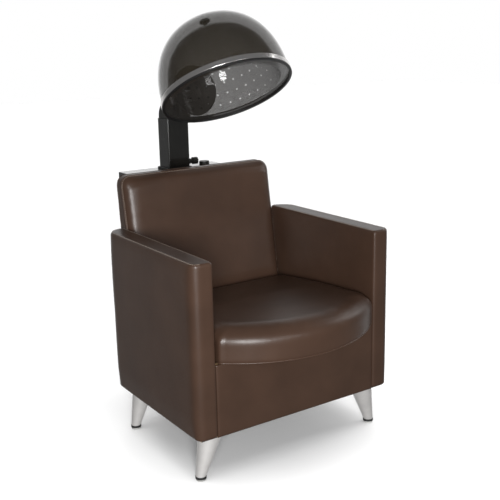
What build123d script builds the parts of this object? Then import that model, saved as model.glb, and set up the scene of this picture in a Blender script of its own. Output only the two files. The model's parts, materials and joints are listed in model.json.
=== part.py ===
"""Salon dryer chair: an upholstered armchair with a box hair dryer bolted behind its back.

Millimetres. The origin is on the floor at the centre of the object's bounding box. +X is the right-hand
side seen from the front, +Y points to the rear, +Z is up.
"""
from build123d import *
from math import cos, pi, radians, sin
import os

# ---- Driving dimensions: chair ----
overall_width = 660.0
arm_thickness = 61.0
arm_front_y = -306.0
arm_rear_y = 207.0
body_bottom_z = 132.0
arm_top_z = 614.0
arm_rear_corner_radius = 54.0
core_rear_corner_radius = 36.0
arm_outer_edge_radius = 26.0
arm_edge_radius = 7.0
arm_top_edge_radius = 5.0
foam_thickness = 12.0
frame_rail_width = 50.0
frame_slat_width = 30.0
board_thickness = 18.0
seat_board_bottom_z = 335.0
seat_bottom_z = 347.0
seat_top_rear_z = 395.0
seat_top_front_z = 431.0
seat_half_width = 266.0
seat_rear_y = 133.0
seat_front_y = -418.0
seat_corner_y = -306.0
seat_slope_end_y = -228.0
back_half_width = 259.0
back_bottom_z = 338.0
back_top_z = 766.0
back_frame_half_width = 222.0
back_frame_thickness = 26.0
leg_front_y = -254.0
leg_rear_y = 134.0
leg_top_x = 265.0
leg_foot_x = 299.0
leg_top_radius = 34.0
leg_foot_radius = 14.5
leg_foot_z = 12.0
leg_plate_thickness = 3.0
leg_plate_size = 64.0
leg_plate_x = 262.0
screw_spacing = 44.0

# ---- Driving dimensions: dryer ----
box_half_width = 176.0
box_front_y = 258.0
box_rear_y = 418.0
box_bottom_z = 456.0
box_top_z = 746.0
sheet = 1.5
column_half_width = 38.0
column_front_y = 328.0
column_rear_y = 394.0
column_bottom_z = 520.0
column_top_z = 909.0
column_wall = 1.5
column_corner_radius = 3.0
duct_half_width = 33.45
duct_half_depth = 27.95
bush_clearance = 0.05
duct_bottom_z = 526.0
lock_z = 764.0
fan_x = -92.0
fan_z = 560.0
fan_radius = 38.0
shaft_radius = 4.0
running_clearance = 0.05
dial_x = 105.0
dial_y = 350.0
dial_radius = 17.0
rocker_y = 338.0
rocker_z = 650.0

# ---- Driving dimensions: hood ----
hood_y = 29.0
hood_z = 1003.0
hood_tilt = 29.64
dome_radius = 190.5
dome_height = 228.0
dome_power = 2.35
dome_wall = 3.0
bowl_radius = 164.0
bowl_height = 196.0
bowl_power = 2.43
bowl_wall = 2.5
rim_height = 18.0
rim_radius = 194.5
skirt_height = 3.0
hub_height = 90.0
hub_radius = 73.0
air_hole_radius = 3.2
air_holes_per_row = 32
air_hole_first_row = 30.0
air_hole_row_pitch = 31.7
air_hole_rows = 5
elbow_radius = 53.0
elbow_y = 336.0
elbow_z = 912.0
knuckle_radius = 34.0
knuckle_half_width = 24.0
knuckle_gap = 1.0
knuckle_offset = 52.0
pin_radius = 5.0

# ---- Worked out from the driving dimensions ----
arm_outer_x = overall_width / 2
arm_inner_x = arm_outer_x - arm_thickness
column_y = (column_front_y + column_rear_y) / 2
tilt = radians(hood_tilt)
hood_up = (0, sin(tilt), cos(tilt))
hood_rear = (0, cos(tilt), -sin(tilt))
standing = (Align.CENTER, Align.CENTER, Align.MIN)
hanging = (Align.CENTER, Align.CENTER, Align.MAX)
cornered = (Align.MIN, Align.MIN, Align.MIN)


def dome_outline(radius, height, power, steps=14):
    """Points of a superellipse from the rim (radius, 0) to the crown (0, height)."""
    angles = [i / steps * pi / 2 for i in range(steps + 1)]
    return [(radius * cos(a) ** (2 / power), height * max(sin(a), 0.0) ** (2 / power)) for a in angles]


def dome_radius_at(h, radius, height, power):
    """Radius of a superellipse dome at height h."""
    return radius * (1 - (h / height) ** power) ** (1 / power)


def hood_point(x, out, up):
    """Row-frame point from hood coordinates: sideways, towards the hood's rear, along its axis."""
    return (
        x,
        hood_y + out * hood_rear[1] + up * hood_up[1],
        hood_z + out * hood_rear[2] + up * hood_up[2],
    )


hood_axis = Axis(hood_point(0, 0, 0), hood_up)
hood_profile_plane = Plane(hood_point(0, 0, 0), x_dir=(1, 0, 0), z_dir=(0, -hood_rear[1], -hood_rear[2]))
hub_out = dome_radius_at(hub_height, dome_radius, dome_height, dome_power)
knuckle_point = hood_point(0, hub_out + knuckle_offset, hub_height)
knuckle_y = knuckle_point[1]
knuckle_z = knuckle_point[2]

os.makedirs("parts", exist_ok=True)


def save(part, name):
    """Label one finished piece and write it as its own STEP file."""
    part.label = name
    export_step(part, f"parts/{name}.step")


def side_plane(x):
    """Sketch plane at a given x: sketch x runs to the rear, sketch y runs up, extrusion goes to +X."""
    return Plane((x, 0, 0), x_dir=(0, 1, 0), z_dir=(1, 0, 0))


def front_plane(y):
    """Sketch plane at a given y: sketch x runs to +X, sketch y up, extrusion goes to the front."""
    return Plane((0, y, 0), x_dir=(1, 0, 0), z_dir=(0, -1, 0))


def box_between(low, high, mode=Mode.ADD):
    """Axis-aligned box from its lowest corner to its highest corner."""
    size = [b - a for a, b in zip(low, high)]
    with Locations(tuple(low)):
        Box(*size, align=cornered, mode=mode)


# ======== Chair: arms ========


def make_arm(side_name, mirrored):
    """Cover (foam and vinyl) and wooden frame of one arm, rounded in plan at its outer rear corner."""
    core_inner_x = arm_inner_x + foam_thickness
    core_outer_x = arm_outer_x - foam_thickness
    core_rear_y = arm_rear_y - foam_thickness
    core_front_y = arm_front_y + foam_thickness
    core_top_z = arm_top_z - foam_thickness
    with BuildPart() as core:
        box_between((core_inner_x, core_front_y, body_bottom_z), (core_outer_x, core_rear_y, core_top_z))
        fillet(
            core.edges().filter_by(Axis.Z).group_by(Axis.Y)[-1].sort_by(Axis.X)[-1],
            radius=core_rear_corner_radius,
        )
    with BuildPart() as cover:
        box_between((arm_inner_x, arm_front_y, body_bottom_z), (arm_outer_x, arm_rear_y, arm_top_z))
        front_edges = cover.edges().filter_by(Axis.Z).group_by(Axis.Y)[0]
        fillet(front_edges.sort_by(Axis.X)[-1], radius=arm_outer_edge_radius)
        front_edges = cover.edges().filter_by(Axis.Z).group_by(Axis.Y)[0]
        fillet(front_edges.sort_by(Axis.X)[0], radius=arm_edge_radius)
        fillet(
            cover.edges().filter_by(Axis.Z).group_by(Axis.Y)[-1].sort_by(Axis.X)[-1],
            radius=arm_rear_corner_radius,
        )
        fillet(cover.faces().sort_by(Axis.Z)[-1].edges(), radius=arm_top_edge_radius)
        add(core.part, mode=Mode.SUBTRACT)
    with BuildPart() as frame:
        add(core.part)
        bay_front = core_front_y + frame_rail_width
        bay_rear = core_rear_y - frame_rail_width
        bay_bottom = body_bottom_z + frame_rail_width
        bay_top = core_top_z - frame_rail_width
        bay_width = (bay_rear - bay_front - 2 * frame_slat_width) / 3
        bay_height = (bay_top - bay_bottom - 2 * frame_slat_width) / 3
        with BuildSketch(side_plane(core_inner_x)):
            with Locations(((bay_front + bay_rear) / 2, (bay_bottom + bay_top) / 2)):
                with GridLocations(bay_width + frame_slat_width, bay_height + frame_slat_width, 3, 3):
                    Rectangle(bay_width, bay_height)
        extrude(amount=core_outer_x - core_inner_x, mode=Mode.SUBTRACT)
        cut_screw_holes()
    cover_part = cover.part
    frame_part = frame.part
    if mirrored:
        cover_part = mirror(cover_part, about=Plane.YZ)
        frame_part = mirror(frame_part, about=Plane.YZ)
    save(cover_part, f"arm_cover_{side_name}")
    save(frame_part, f"arm_frame_{side_name}")


# ======== Chair: legs, plates and screws ========

front_plate_shift = 4.0
rear_plate_shift = 24.0
plate_centres_y = [leg_front_y + front_plate_shift, leg_rear_y - rear_plate_shift]
plate_corner_radius = 6.0
screw_length = 30.0
screw_radius = 2.0
screw_head_radius = 4.5
foot_pad_height = 5.0
foot_pad_inset = 0.5
foot_pad_edge = 1.0
foot_ring_overlap = 0.8
foot_ring_edge = 0.7


def screw_points():
    """Tops of the leg plate screws on the +X side."""
    points = []
    for y in plate_centres_y:
        for dx in (-screw_spacing / 2, screw_spacing / 2):
            for dy in (-screw_spacing / 2, screw_spacing / 2):
                points.append((leg_plate_x + dx, y + dy))
    return points


def cut_screw_holes():
    """Pilot holes for the leg plate screws, in the part being built."""
    with Locations(*[(x, y, body_bottom_z) for x, y in screw_points()]):
        Cylinder(screw_radius, screw_length, align=standing, mode=Mode.SUBTRACT)


def make_legs():
    """Four tapered legs, splayed sideways, with their plates, screws, rings and glides."""
    plate_bottom = body_bottom_z - leg_plate_thickness
    for y, place in ((leg_front_y, "front"), (leg_rear_y, "rear")):
        for sign, side_name in ((-1, "left"), (1, "right")):
            with BuildPart() as leg:
                with BuildSketch(Plane.XY.offset(leg_foot_z)):
                    with Locations((sign * leg_foot_x, y)):
                        Circle(leg_foot_radius)
                with BuildSketch(Plane.XY.offset(plate_bottom)):
                    with Locations((sign * leg_top_x, y)):
                        Circle(leg_top_radius)
                loft()
            save(leg.part, f"leg_{place}_{side_name}")
    with BuildPart() as plates:
        with BuildSketch(Plane.XY.offset(plate_bottom)):
            with Locations(*[(side * leg_plate_x, y) for side in (-1, 1) for y in plate_centres_y]):
                RectangleRounded(leg_plate_size, leg_plate_size, plate_corner_radius)
        extrude(amount=leg_plate_thickness)
        head_places = [(side * x, y, plate_bottom) for side in (-1, 1) for x, y in screw_points()]
        with Locations(*head_places):
            Cone(
                screw_head_radius, screw_radius, leg_plate_thickness,
                align=standing, mode=Mode.SUBTRACT,
            )
    save(plates.part, "leg_plates")
    with BuildPart() as screws:
        with Locations(*head_places):
            Cone(
                screw_head_radius, screw_radius, leg_plate_thickness,
                align=standing,
            )
        with Locations(*[(x, y, body_bottom_z) for x, y, z in head_places]):
            Cylinder(screw_radius, screw_length, align=standing)
    save(screws.part, "leg_screws")
    feet = [(side * leg_foot_x, y) for side in (-1, 1) for y in (leg_front_y, leg_rear_y)]
    with BuildPart() as rings:
        with BuildSketch(Plane.XY.offset(foot_pad_height)):
            with Locations(*feet):
                Circle(leg_foot_radius + foot_ring_overlap)
        extrude(amount=leg_foot_z - foot_pad_height)
        fillet(rings.edges().group_by(Axis.Z)[-1], radius=foot_ring_edge)
    save(rings.part, "foot_rings")
    with BuildPart() as pads:
        with BuildSketch():
            with Locations(*feet):
                Circle(leg_foot_radius - foot_pad_inset)
        extrude(amount=foot_pad_height)
        fillet(pads.edges().group_by(Axis.Z)[0], radius=foot_pad_edge)
    save(pads.part, "foot_pads")


# ======== Chair: rails, seat and back ========

front_cover_thickness = 6.0
front_cover_y = -302.0
front_rail_y = front_cover_y + front_cover_thickness
rear_rail_y = 144.0
seat_board_inset = 12.0
corner_block_size = 60.0
seat_front_radius = 26.0
seat_cut_margin = 10.0
corner_block_height = 40.0
dust_cover_inset = 14.0
dust_cover_thickness = 1.2
rear_cover_thickness = 10.0
rear_cover_gap = 0.5
back_post_width = 60.0
back_frame_bays = ((180.0, 290.0), (380.0, 490.0), (520.0, 550.0), (590.0, 650.0))
back_corner_radius = 28.0
back_front_edge_radius = 18.0
back_rear_edge_radius = 6.0
back_datum_z = 398.0
back_front_datum_y = 144.0
back_front_slope = 55.0 / 353.0
back_frame_datum_y = 183.0
back_frame_slope = 42.0 / 342.0
back_rear_datum_z = 611.0
back_rear_datum_y = 241.0
back_rear_slope = 10.0 / 118.0


def make_rails():
    """Rails between the arms, corner blocks, front cover and dust cover."""
    half = arm_inner_x
    side_start = front_rail_y + board_thickness
    with BuildPart() as front_rail:
        box_between((-half, front_rail_y, body_bottom_z), (half, side_start, seat_board_bottom_z))
    save(front_rail.part, "front_rail")
    with BuildPart() as rear_rail:
        box_between(
            (-half, rear_rail_y, body_bottom_z),
            (half, rear_rail_y + board_thickness, seat_board_bottom_z),
        )
    save(rear_rail.part, "rear_rail")
    for sign, side_name in ((-1, "left"), (1, "right")):
        with BuildPart() as rail:
            box_between(
                (half - board_thickness, side_start, body_bottom_z),
                (half, rear_rail_y, seat_board_bottom_z),
            )
        rail_part = rail.part if sign > 0 else mirror(rail.part, about=Plane.YZ)
        save(rail_part, f"side_rail_{side_name}")
    block_outer = half - board_thickness
    block_ys = (side_start, rear_rail_y - corner_block_size)
    with BuildPart() as blocks:
        for y in block_ys:
            box_between(
                (block_outer - corner_block_size, y, body_bottom_z),
                (block_outer, y + corner_block_size, body_bottom_z + corner_block_height),
            )
        cut_screw_holes()
        mirror(about=Plane.YZ)
    save(blocks.part, "corner_blocks")
    with BuildPart() as cover:
        box_between((-half, front_cover_y, body_bottom_z), (half, front_rail_y, seat_board_bottom_z))
    save(cover.part, "front_cover")
    dust_half = arm_outer_x - dust_cover_inset
    dust_bottom = body_bottom_z - dust_cover_thickness
    notch = leg_plate_size / 2 + 1.0
    with BuildPart() as dust:
        box_between(
            (-dust_half, front_rail_y, dust_bottom),
            (dust_half, arm_rear_y - arm_rear_corner_radius, body_bottom_z),
        )
        for sign in (-1, 1):
            for y in plate_centres_y:
                x = sign * leg_plate_x
                box_between(
                    (x - notch, y - notch, dust_bottom), (x + notch, y + notch, body_bottom_z), Mode.SUBTRACT
                )
    save(dust.part, "dust_cover")


def seat_plan(inset):
    """Plan of the seat: straight back and sides, bowed front."""
    half = seat_half_width - inset
    rear = seat_rear_y
    front = seat_front_y + inset
    with BuildSketch() as plan:
        with BuildLine():
            Line((-half, seat_corner_y), (-half, rear))
            Line((-half, rear), (half, rear))
            Line((half, rear), (half, seat_corner_y))
            ThreePointArc((half, seat_corner_y), (0, front), (-half, seat_corner_y))
        make_face()
    return plan.sketch


def make_seat():
    """Plywood seat board and the cushion on it."""
    board_plan = seat_plan(seat_board_inset)
    cushion_plan = seat_plan(0.0)
    with BuildPart() as board:
        with BuildSketch(Plane.XY.offset(seat_board_bottom_z)):
            add(board_plan)
        extrude(amount=seat_bottom_z - seat_board_bottom_z)
    save(board.part, "seat_board")
    with BuildPart() as cushion:
        with BuildSketch(Plane.XY.offset(seat_bottom_z)):
            add(cushion_plan)
        extrude(amount=seat_top_front_z - seat_bottom_z)
        front_edge = cushion.edges().filter_by(GeomType.CIRCLE).sort_by(Axis.Z)[-1]
        fillet(front_edge, radius=seat_front_radius)
        with BuildSketch(side_plane(-seat_half_width - seat_cut_margin)):
            Polygon(
                (seat_slope_end_y, seat_top_front_z),
                (seat_rear_y + seat_cut_margin / 2, seat_top_rear_z),
                (seat_rear_y + seat_cut_margin / 2, seat_top_front_z + seat_cut_margin / 2),
                (seat_slope_end_y, seat_top_front_z + seat_cut_margin / 2),
                align=None,
            )
        extrude(amount=2 * (seat_half_width + seat_cut_margin), mode=Mode.SUBTRACT)
    save(cushion.part, "seat_cushion")


def back_front_y(z):
    """Front face of the backrest at height z."""
    return back_front_datum_y + (z - back_datum_z) * back_front_slope


def back_rear_y(z):
    """Rear face of the backrest at height z."""
    return back_rear_datum_y + (z - back_rear_datum_z) * back_rear_slope


def back_middle_y(z):
    """Middle plane of the back frame at height z."""
    return back_frame_datum_y + (z - back_datum_z) * back_frame_slope


bracket_bolt_zs = (570.0, 670.0)
bracket_bolt_x = 80.0
bracket_bolt_radius = 4.0
bracket_bolt_length = 44.0


def bracket_bolt_planes(extra):
    """Starts of the bracket bolts on the bracket's face, pointing to the front."""
    return [
        Plane((side * bracket_bolt_x, back_rear_y(z) + extra, z), x_dir=(1, 0, 0), z_dir=(0, -1, 0))
        for side in (-1, 1)
        for z in bracket_bolt_zs
    ]


def cut_bracket_bolts():
    """Bolt holes for the dryer bracket, in the part being built."""
    with Locations(*bracket_bolt_planes(bolt_stand_off)):
        Cylinder(
            bracket_bolt_radius, bracket_bolt_length,
            align=standing, mode=Mode.SUBTRACT,
        )


def above_back_bottom(edge):
    """True for every edge of the backrest but those along its bottom."""
    return edge.center().Z > back_bottom_z + 2.0


def make_back():
    """Back frame, back cushion and the cover behind and below it."""
    low = body_bottom_z + 8.0
    bend = seat_board_bottom_z
    top = back_top_z - foam_thickness - 6.0
    t = back_frame_thickness / 2
    bend_y = back_middle_y(bend)
    frame_points = [
        (bend_y - t, low),
        (bend_y + t, low),
        (bend_y + t, bend),
        (back_middle_y(top) + t, top),
        (back_middle_y(top) - t, top),
        (bend_y - t, bend),
    ]
    with BuildPart() as frame:
        with BuildSketch(side_plane(-back_frame_half_width)):
            Polygon(*frame_points, align=None)
        extrude(amount=2 * back_frame_half_width)
        bay = (2 * back_frame_half_width - 4 * back_post_width) / 3
        with BuildSketch(front_plane(300.0)):
            for z0, z1 in back_frame_bays:
                with Locations((0, (z0 + z1) / 2)):
                    with GridLocations(bay + back_post_width, 1, 3, 1):
                        Rectangle(bay, z1 - z0)
        extrude(amount=250.0, mode=Mode.SUBTRACT)
        cut_bracket_bolts()
    save(frame.part, "back_frame")
    with BuildPart() as cushion:
        with BuildSketch(side_plane(-back_half_width)):
            Polygon(
                (back_front_y(back_bottom_z), back_bottom_z),
                (back_rear_y(back_bottom_z), back_bottom_z),
                (back_rear_y(back_top_z), back_top_z),
                (back_front_y(back_top_z), back_top_z),
                align=None,
            )
        extrude(amount=2 * back_half_width)
        corner_edges = cushion.faces().sort_by(Axis.Z)[-1].edges().filter_by(Axis.Y)
        fillet(corner_edges, radius=back_corner_radius)
        front_edges = cushion.faces().sort_by(Axis.Y)[0].edges()
        fillet(front_edges.filter_by(above_back_bottom), radius=back_front_edge_radius)
        rear_edges = cushion.faces().sort_by(Axis.Y)[-1].edges()
        fillet(rear_edges.filter_by(above_back_bottom), radius=back_rear_edge_radius)
        with BuildSketch(side_plane(-back_frame_half_width)):
            Polygon(*frame_points, align=None)
        extrude(amount=2 * back_frame_half_width, mode=Mode.SUBTRACT)
        cut_bracket_bolts()
    save(cushion.part, "back_cushion")
    cover_half_width = arm_inner_x - rear_cover_gap
    cover_top_y = back_rear_y(back_bottom_z)
    with BuildPart() as rear_cover:
        with BuildSketch(side_plane(-cover_half_width)):
            Polygon(
                (arm_rear_y - rear_cover_thickness, body_bottom_z),
                (arm_rear_y, body_bottom_z),
                (cover_top_y, back_bottom_z),
                (cover_top_y - rear_cover_thickness, back_bottom_z),
                align=None,
            )
        extrude(amount=2 * cover_half_width)
    save(rear_cover.part, "rear_cover")


# ======== Dryer: bracket, housing and what it holds ========

bracket_half_width = 110.0
bracket_low_z = 530.0
bracket_high_z = 710.0
bracket_wall = 3.0
mount_screw_x = 60.0
mount_screw_zs = (555.0, 690.0)
mount_screw_radius = 2.5
mount_screw_head_radius = 4.5
mount_screw_head_height = 2.6
bolt_stand_off = 4.0
bolt_hex_radius = 6.4
bolt_hex_height = 2.5
grille_radius = 44.0


def mount_screw_planes(y):
    """Planes of the housing's screws at a given y, pointing to the rear."""
    return [
        Plane((side * mount_screw_x, y, z), x_dir=(1, 0, 0), z_dir=(0, 1, 0))
        for side in (-1, 1)
        for z in mount_screw_zs
    ]


def cut_mount_screws():
    """Holes for the screws that fasten the housing to the bracket, in the part being built."""
    with Locations(*mount_screw_planes(box_front_y - bracket_wall)):
        Cylinder(
            mount_screw_radius, bracket_wall + sheet,
            align=standing, mode=Mode.SUBTRACT,
        )


def make_bracket():
    """Boxed steel bracket between the backrest and the dryer's housing, with its bolts and screws."""
    w = bracket_wall
    with BuildPart() as bracket:
        with BuildSketch(side_plane(-bracket_half_width)):
            Polygon(
                (back_rear_y(bracket_low_z), bracket_low_z),
                (box_front_y, bracket_low_z),
                (box_front_y, bracket_high_z),
                (back_rear_y(bracket_high_z), bracket_high_z),
                align=None,
            )
        extrude(amount=2 * bracket_half_width)
        with BuildSketch(side_plane(-bracket_half_width + w)):
            Polygon(
                (back_rear_y(bracket_low_z - 1) + w, bracket_low_z - 1),
                (box_front_y - w, bracket_low_z - 1),
                (box_front_y - w, bracket_high_z + 1),
                (back_rear_y(bracket_high_z + 1) + w, bracket_high_z + 1),
                align=None,
            )
        extrude(amount=2 * bracket_half_width - 2 * w, mode=Mode.SUBTRACT)
        cut_bracket_bolts()
        cut_mount_screws()
    save(bracket.part, "dryer_bracket")
    with BuildPart() as bolts:
        with Locations(*bracket_bolt_planes(bolt_stand_off)):
            Cylinder(bracket_bolt_radius, bracket_bolt_length, align=standing)
        for plane in bracket_bolt_planes(bolt_stand_off):
            with BuildSketch(plane):
                RegularPolygon(bolt_hex_radius, 6)
            extrude(amount=-bolt_hex_height)
        with Locations(*mount_screw_planes(box_front_y - w)):
            Cylinder(mount_screw_radius, w + sheet, align=standing)
        with Locations(*mount_screw_planes(box_front_y + sheet)):
            Cylinder(mount_screw_head_radius, mount_screw_head_height, align=standing)
    save(bolts.part, "bracket_bolts")


base_height = 14.0
base_gap = 0.1
base_screw_inset = 30.0
base_screw_radius = 1.5
base_screw_length = 6.0
base_screw_head_radius = 3.2
base_screw_head_height = 1.6
box_corner_radius = 4.0
box_top_radius = 3.0
dial_hole_radius = 4.0
slot_pitch = 11.0
slot_height = 6.0
slot_count = 7
rocker_hole_width = 20.0
rocker_hole_height = 28.0
filter_overlap = 4.0
filter_thickness = 6.0
gland_x = 130.0
gland_y = 360.0
gland_thread_radius = 8.0
gland_hex_radius = 11.0
gland_length = 16.0
gland_nut_height = 5.0
cord_radius = 4.0
through = 1.0


def side_screw_planes(inset):
    """Planes of the base pan's screws on the housing's two end walls, pointing inwards."""
    x = box_half_width - inset
    z = box_bottom_z + base_height / 2
    return [
        Plane((side * x, y, z), x_dir=(0, 1, 0), z_dir=(-side, 0, 0))
        for side in (-1, 1)
        for y in (box_front_y + base_screw_inset, box_rear_y - base_screw_inset)
    ]


def cut_side_screws():
    """Holes for the base pan's screws, in the part being built."""
    with Locations(*side_screw_planes(0.0)):
        Cylinder(base_screw_radius, 2 * sheet + base_gap, align=standing, mode=Mode.SUBTRACT)


def make_housing():
    """Sheet-metal housing, open below, and the base pan that closes it."""
    with BuildPart() as housing:
        box_between((-box_half_width, box_front_y, box_bottom_z), (box_half_width, box_rear_y, box_top_z))
        fillet(housing.edges().filter_by(Axis.Z), radius=box_corner_radius)
        fillet(housing.faces().sort_by(Axis.Z)[-1].edges(), radius=box_top_radius)
        bottom = housing.faces().sort_by(Axis.Z)[0]
        offset(amount=-sheet, openings=bottom)
        with BuildSketch(Plane.XY.offset(box_top_z - sheet - through)):
            with Locations((0, column_y)):
                RectangleRounded(
                    2 * column_half_width, column_rear_y - column_front_y, column_corner_radius
                )
            with Locations((dial_x, dial_y)):
                Circle(dial_hole_radius)
        extrude(amount=sheet + 2 * through, mode=Mode.SUBTRACT)
        with BuildSketch(front_plane(box_rear_y + through)):
            with Locations((fan_x, fan_z)):
                with GridLocations(0, slot_pitch, 1, slot_count):
                    SlotOverall(2 * grille_radius, slot_height)
        extrude(amount=sheet + 2 * through, mode=Mode.SUBTRACT)
        with BuildSketch(side_plane(box_half_width - sheet - through)):
            with Locations((rocker_y, rocker_z)):
                Rectangle(rocker_hole_width, rocker_hole_height)
        extrude(amount=sheet + 2 * through, mode=Mode.SUBTRACT)
        cut_side_screws()
        cut_mount_screws()
    save(housing.part, "dryer_housing")
    inside = sheet + base_gap
    with BuildPart() as base:
        box_between(
            (-box_half_width + inside, box_front_y + inside, box_bottom_z),
            (box_half_width - inside, box_rear_y - inside, box_bottom_z + base_height),
        )
        fillet(base.edges().filter_by(Axis.Z), radius=box_corner_radius - sheet)
        offset(amount=-sheet, openings=base.faces().sort_by(Axis.Z)[-1])
        with Locations((gland_x, gland_y, box_bottom_z)):
            Cylinder(gland_thread_radius, sheet, align=standing, mode=Mode.SUBTRACT)
        cut_side_screws()
    save(base.part, "housing_base")
    with BuildPart() as screws:
        with Locations(*side_screw_planes(0.0)):
            Cylinder(base_screw_radius, base_screw_length, align=standing)
        with Locations(*side_screw_planes(-base_screw_head_height)):
            Cylinder(base_screw_head_radius, base_screw_head_height, align=standing)
    save(screws.part, "housing_screws")
    with BuildPart() as filter_pad:
        with BuildSketch(front_plane(box_rear_y - sheet)):
            with Locations((fan_x, fan_z)):
                Circle(grille_radius + filter_overlap)
        extrude(amount=filter_thickness)
    save(filter_pad.part, "inlet_filter")
    with BuildPart() as gland:
        with BuildSketch(Plane.XY.offset(box_bottom_z - gland_length)):
            with Locations((gland_x, gland_y)):
                RegularPolygon(gland_hex_radius, 6)
        extrude(amount=gland_length)
        with Locations((gland_x, gland_y, box_bottom_z)):
            Cylinder(gland_thread_radius, sheet, align=standing)
        with Locations((gland_x, gland_y, box_bottom_z + sheet)):
            Cylinder(gland_hex_radius, gland_nut_height, align=standing)
        with Locations((gland_x, gland_y, box_bottom_z - gland_length)):
            Cylinder(cord_radius, 2 * gland_length, align=standing, mode=Mode.SUBTRACT)
    save(gland.part, "cable_gland")


scroll_front_y = 326.0
scroll_rear_y = 396.0
scroll_wall = 2.0
scroll_small_radius = 44.0
scroll_large_radius = 84.0
scroll_start_angle = -60.0
scroll_turn = 330.0
scroll_steps = 16
scroll_inlet_inset = 4.0
scroll_shaft_hole_radius = 9.0
outlet_x = -58.0
duct_top_z = column_bottom_z
wheel_side_gap = 5.0
wheel_disc_thickness = 3.0
wheel_hub_length = 14.0
wheel_hub_radius = 10.0
wheel_ring_width = 7.0
wheel_ring_thickness = 2.5
blade_count = 28
blade_inset = 4.0
blade_chord = 5.5
blade_thickness = 1.0
blade_angle = 35.0
motor_radius = 34.0
motor_front_gap = 8.0
motor_wall = 6.0
motor_edge_radius = 4.0
motor_end_play = 0.5


def scroll_outline(inset):
    """Blower scroll: a spiral that opens into an outlet along the bottom."""
    growth = scroll_large_radius - scroll_small_radius
    points = []
    for i in range(scroll_steps + 1):
        share = i / scroll_steps
        angle = radians(scroll_start_angle + scroll_turn * share)
        reach = scroll_small_radius + growth * share - inset
        points.append((fan_x + reach * cos(angle), fan_z + reach * sin(angle)))
    mouth_x = outlet_x + inset
    with BuildSketch() as outline:
        with BuildLine():
            Spline(*points)
            Line(points[-1], (mouth_x, points[-1][1]))
            Line((mouth_x, points[-1][1]), (mouth_x, points[0][1]))
            Line((mouth_x, points[0][1]), points[0])
        make_face()
    return outline.sketch


def make_blower():
    """Scroll, fan wheel, shaft and motor."""
    depth = scroll_rear_y - scroll_front_y
    outer_outline = scroll_outline(0.0)
    inner_outline = scroll_outline(scroll_wall)
    with BuildPart() as scroll:
        with BuildSketch(front_plane(scroll_rear_y)):
            add(outer_outline)
        extrude(amount=depth)
        with BuildSketch(front_plane(scroll_rear_y - scroll_wall)):
            add(inner_outline)
        extrude(amount=depth - 2 * scroll_wall, mode=Mode.SUBTRACT)
        with BuildSketch(front_plane(scroll_rear_y + through)):
            with Locations((fan_x, fan_z)):
                Circle(fan_radius - scroll_inlet_inset)
        extrude(amount=scroll_wall + 2 * through, mode=Mode.SUBTRACT)
        with BuildSketch(front_plane(scroll_front_y + scroll_wall + through)):
            with Locations((fan_x, fan_z)):
                Circle(scroll_shaft_hole_radius)
        extrude(amount=scroll_wall + 2 * through, mode=Mode.SUBTRACT)
    save(scroll.part, "blower_scroll")
    wheel_front = scroll_front_y + wheel_side_gap
    wheel_rear = scroll_rear_y - wheel_side_gap
    blades_front = wheel_front + wheel_disc_thickness
    blades_rear = wheel_rear - wheel_ring_thickness
    with BuildPart() as wheel:
        with BuildSketch(front_plane(blades_front)):
            with Locations((fan_x, fan_z)):
                Circle(fan_radius)
        extrude(amount=wheel_disc_thickness)
        with BuildSketch(front_plane(blades_front + wheel_hub_length)):
            with Locations((fan_x, fan_z)):
                Circle(wheel_hub_radius)
        extrude(amount=wheel_hub_length)
        with BuildSketch(front_plane(wheel_rear)):
            with Locations((fan_x, fan_z)):
                Circle(fan_radius)
                Circle(fan_radius - wheel_ring_width, mode=Mode.SUBTRACT)
        extrude(amount=wheel_ring_thickness)
        with BuildSketch(front_plane(blades_rear)):
            with Locations((fan_x, fan_z)):
                with PolarLocations(fan_radius - blade_inset, blade_count):
                    Rectangle(blade_chord, blade_thickness, rotation=blade_angle)
        extrude(amount=blades_rear - blades_front)
        with BuildSketch(front_plane(blades_front + wheel_hub_length + through)):
            with Locations((fan_x, fan_z)):
                Circle(shaft_radius)
        extrude(amount=wheel_disc_thickness + wheel_hub_length + 2 * through, mode=Mode.SUBTRACT)
    save(wheel.part, "fan_wheel")
    motor_front = box_front_y + motor_front_gap
    shaft_front = motor_front + motor_wall
    shaft_rear = blades_front + wheel_hub_length + through
    with BuildPart() as shaft:
        with BuildSketch(front_plane(shaft_rear)):
            with Locations((fan_x, fan_z)):
                Circle(shaft_radius)
        extrude(amount=shaft_rear - shaft_front)
    save(shaft.part, "motor_shaft")
    with BuildPart() as motor:
        with BuildSketch(front_plane(scroll_front_y)):
            with Locations((fan_x, fan_z)):
                Circle(motor_radius)
        extrude(amount=scroll_front_y - motor_front)
        fillet(motor.edges().group_by(Axis.Y)[0], radius=motor_edge_radius)
        with BuildSketch(front_plane(scroll_front_y)):
            with Locations((fan_x, fan_z)):
                Circle(shaft_radius + running_clearance)
        extrude(amount=scroll_front_y - shaft_front + motor_end_play, mode=Mode.SUBTRACT)
    save(motor.part, "blower_motor")


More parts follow.
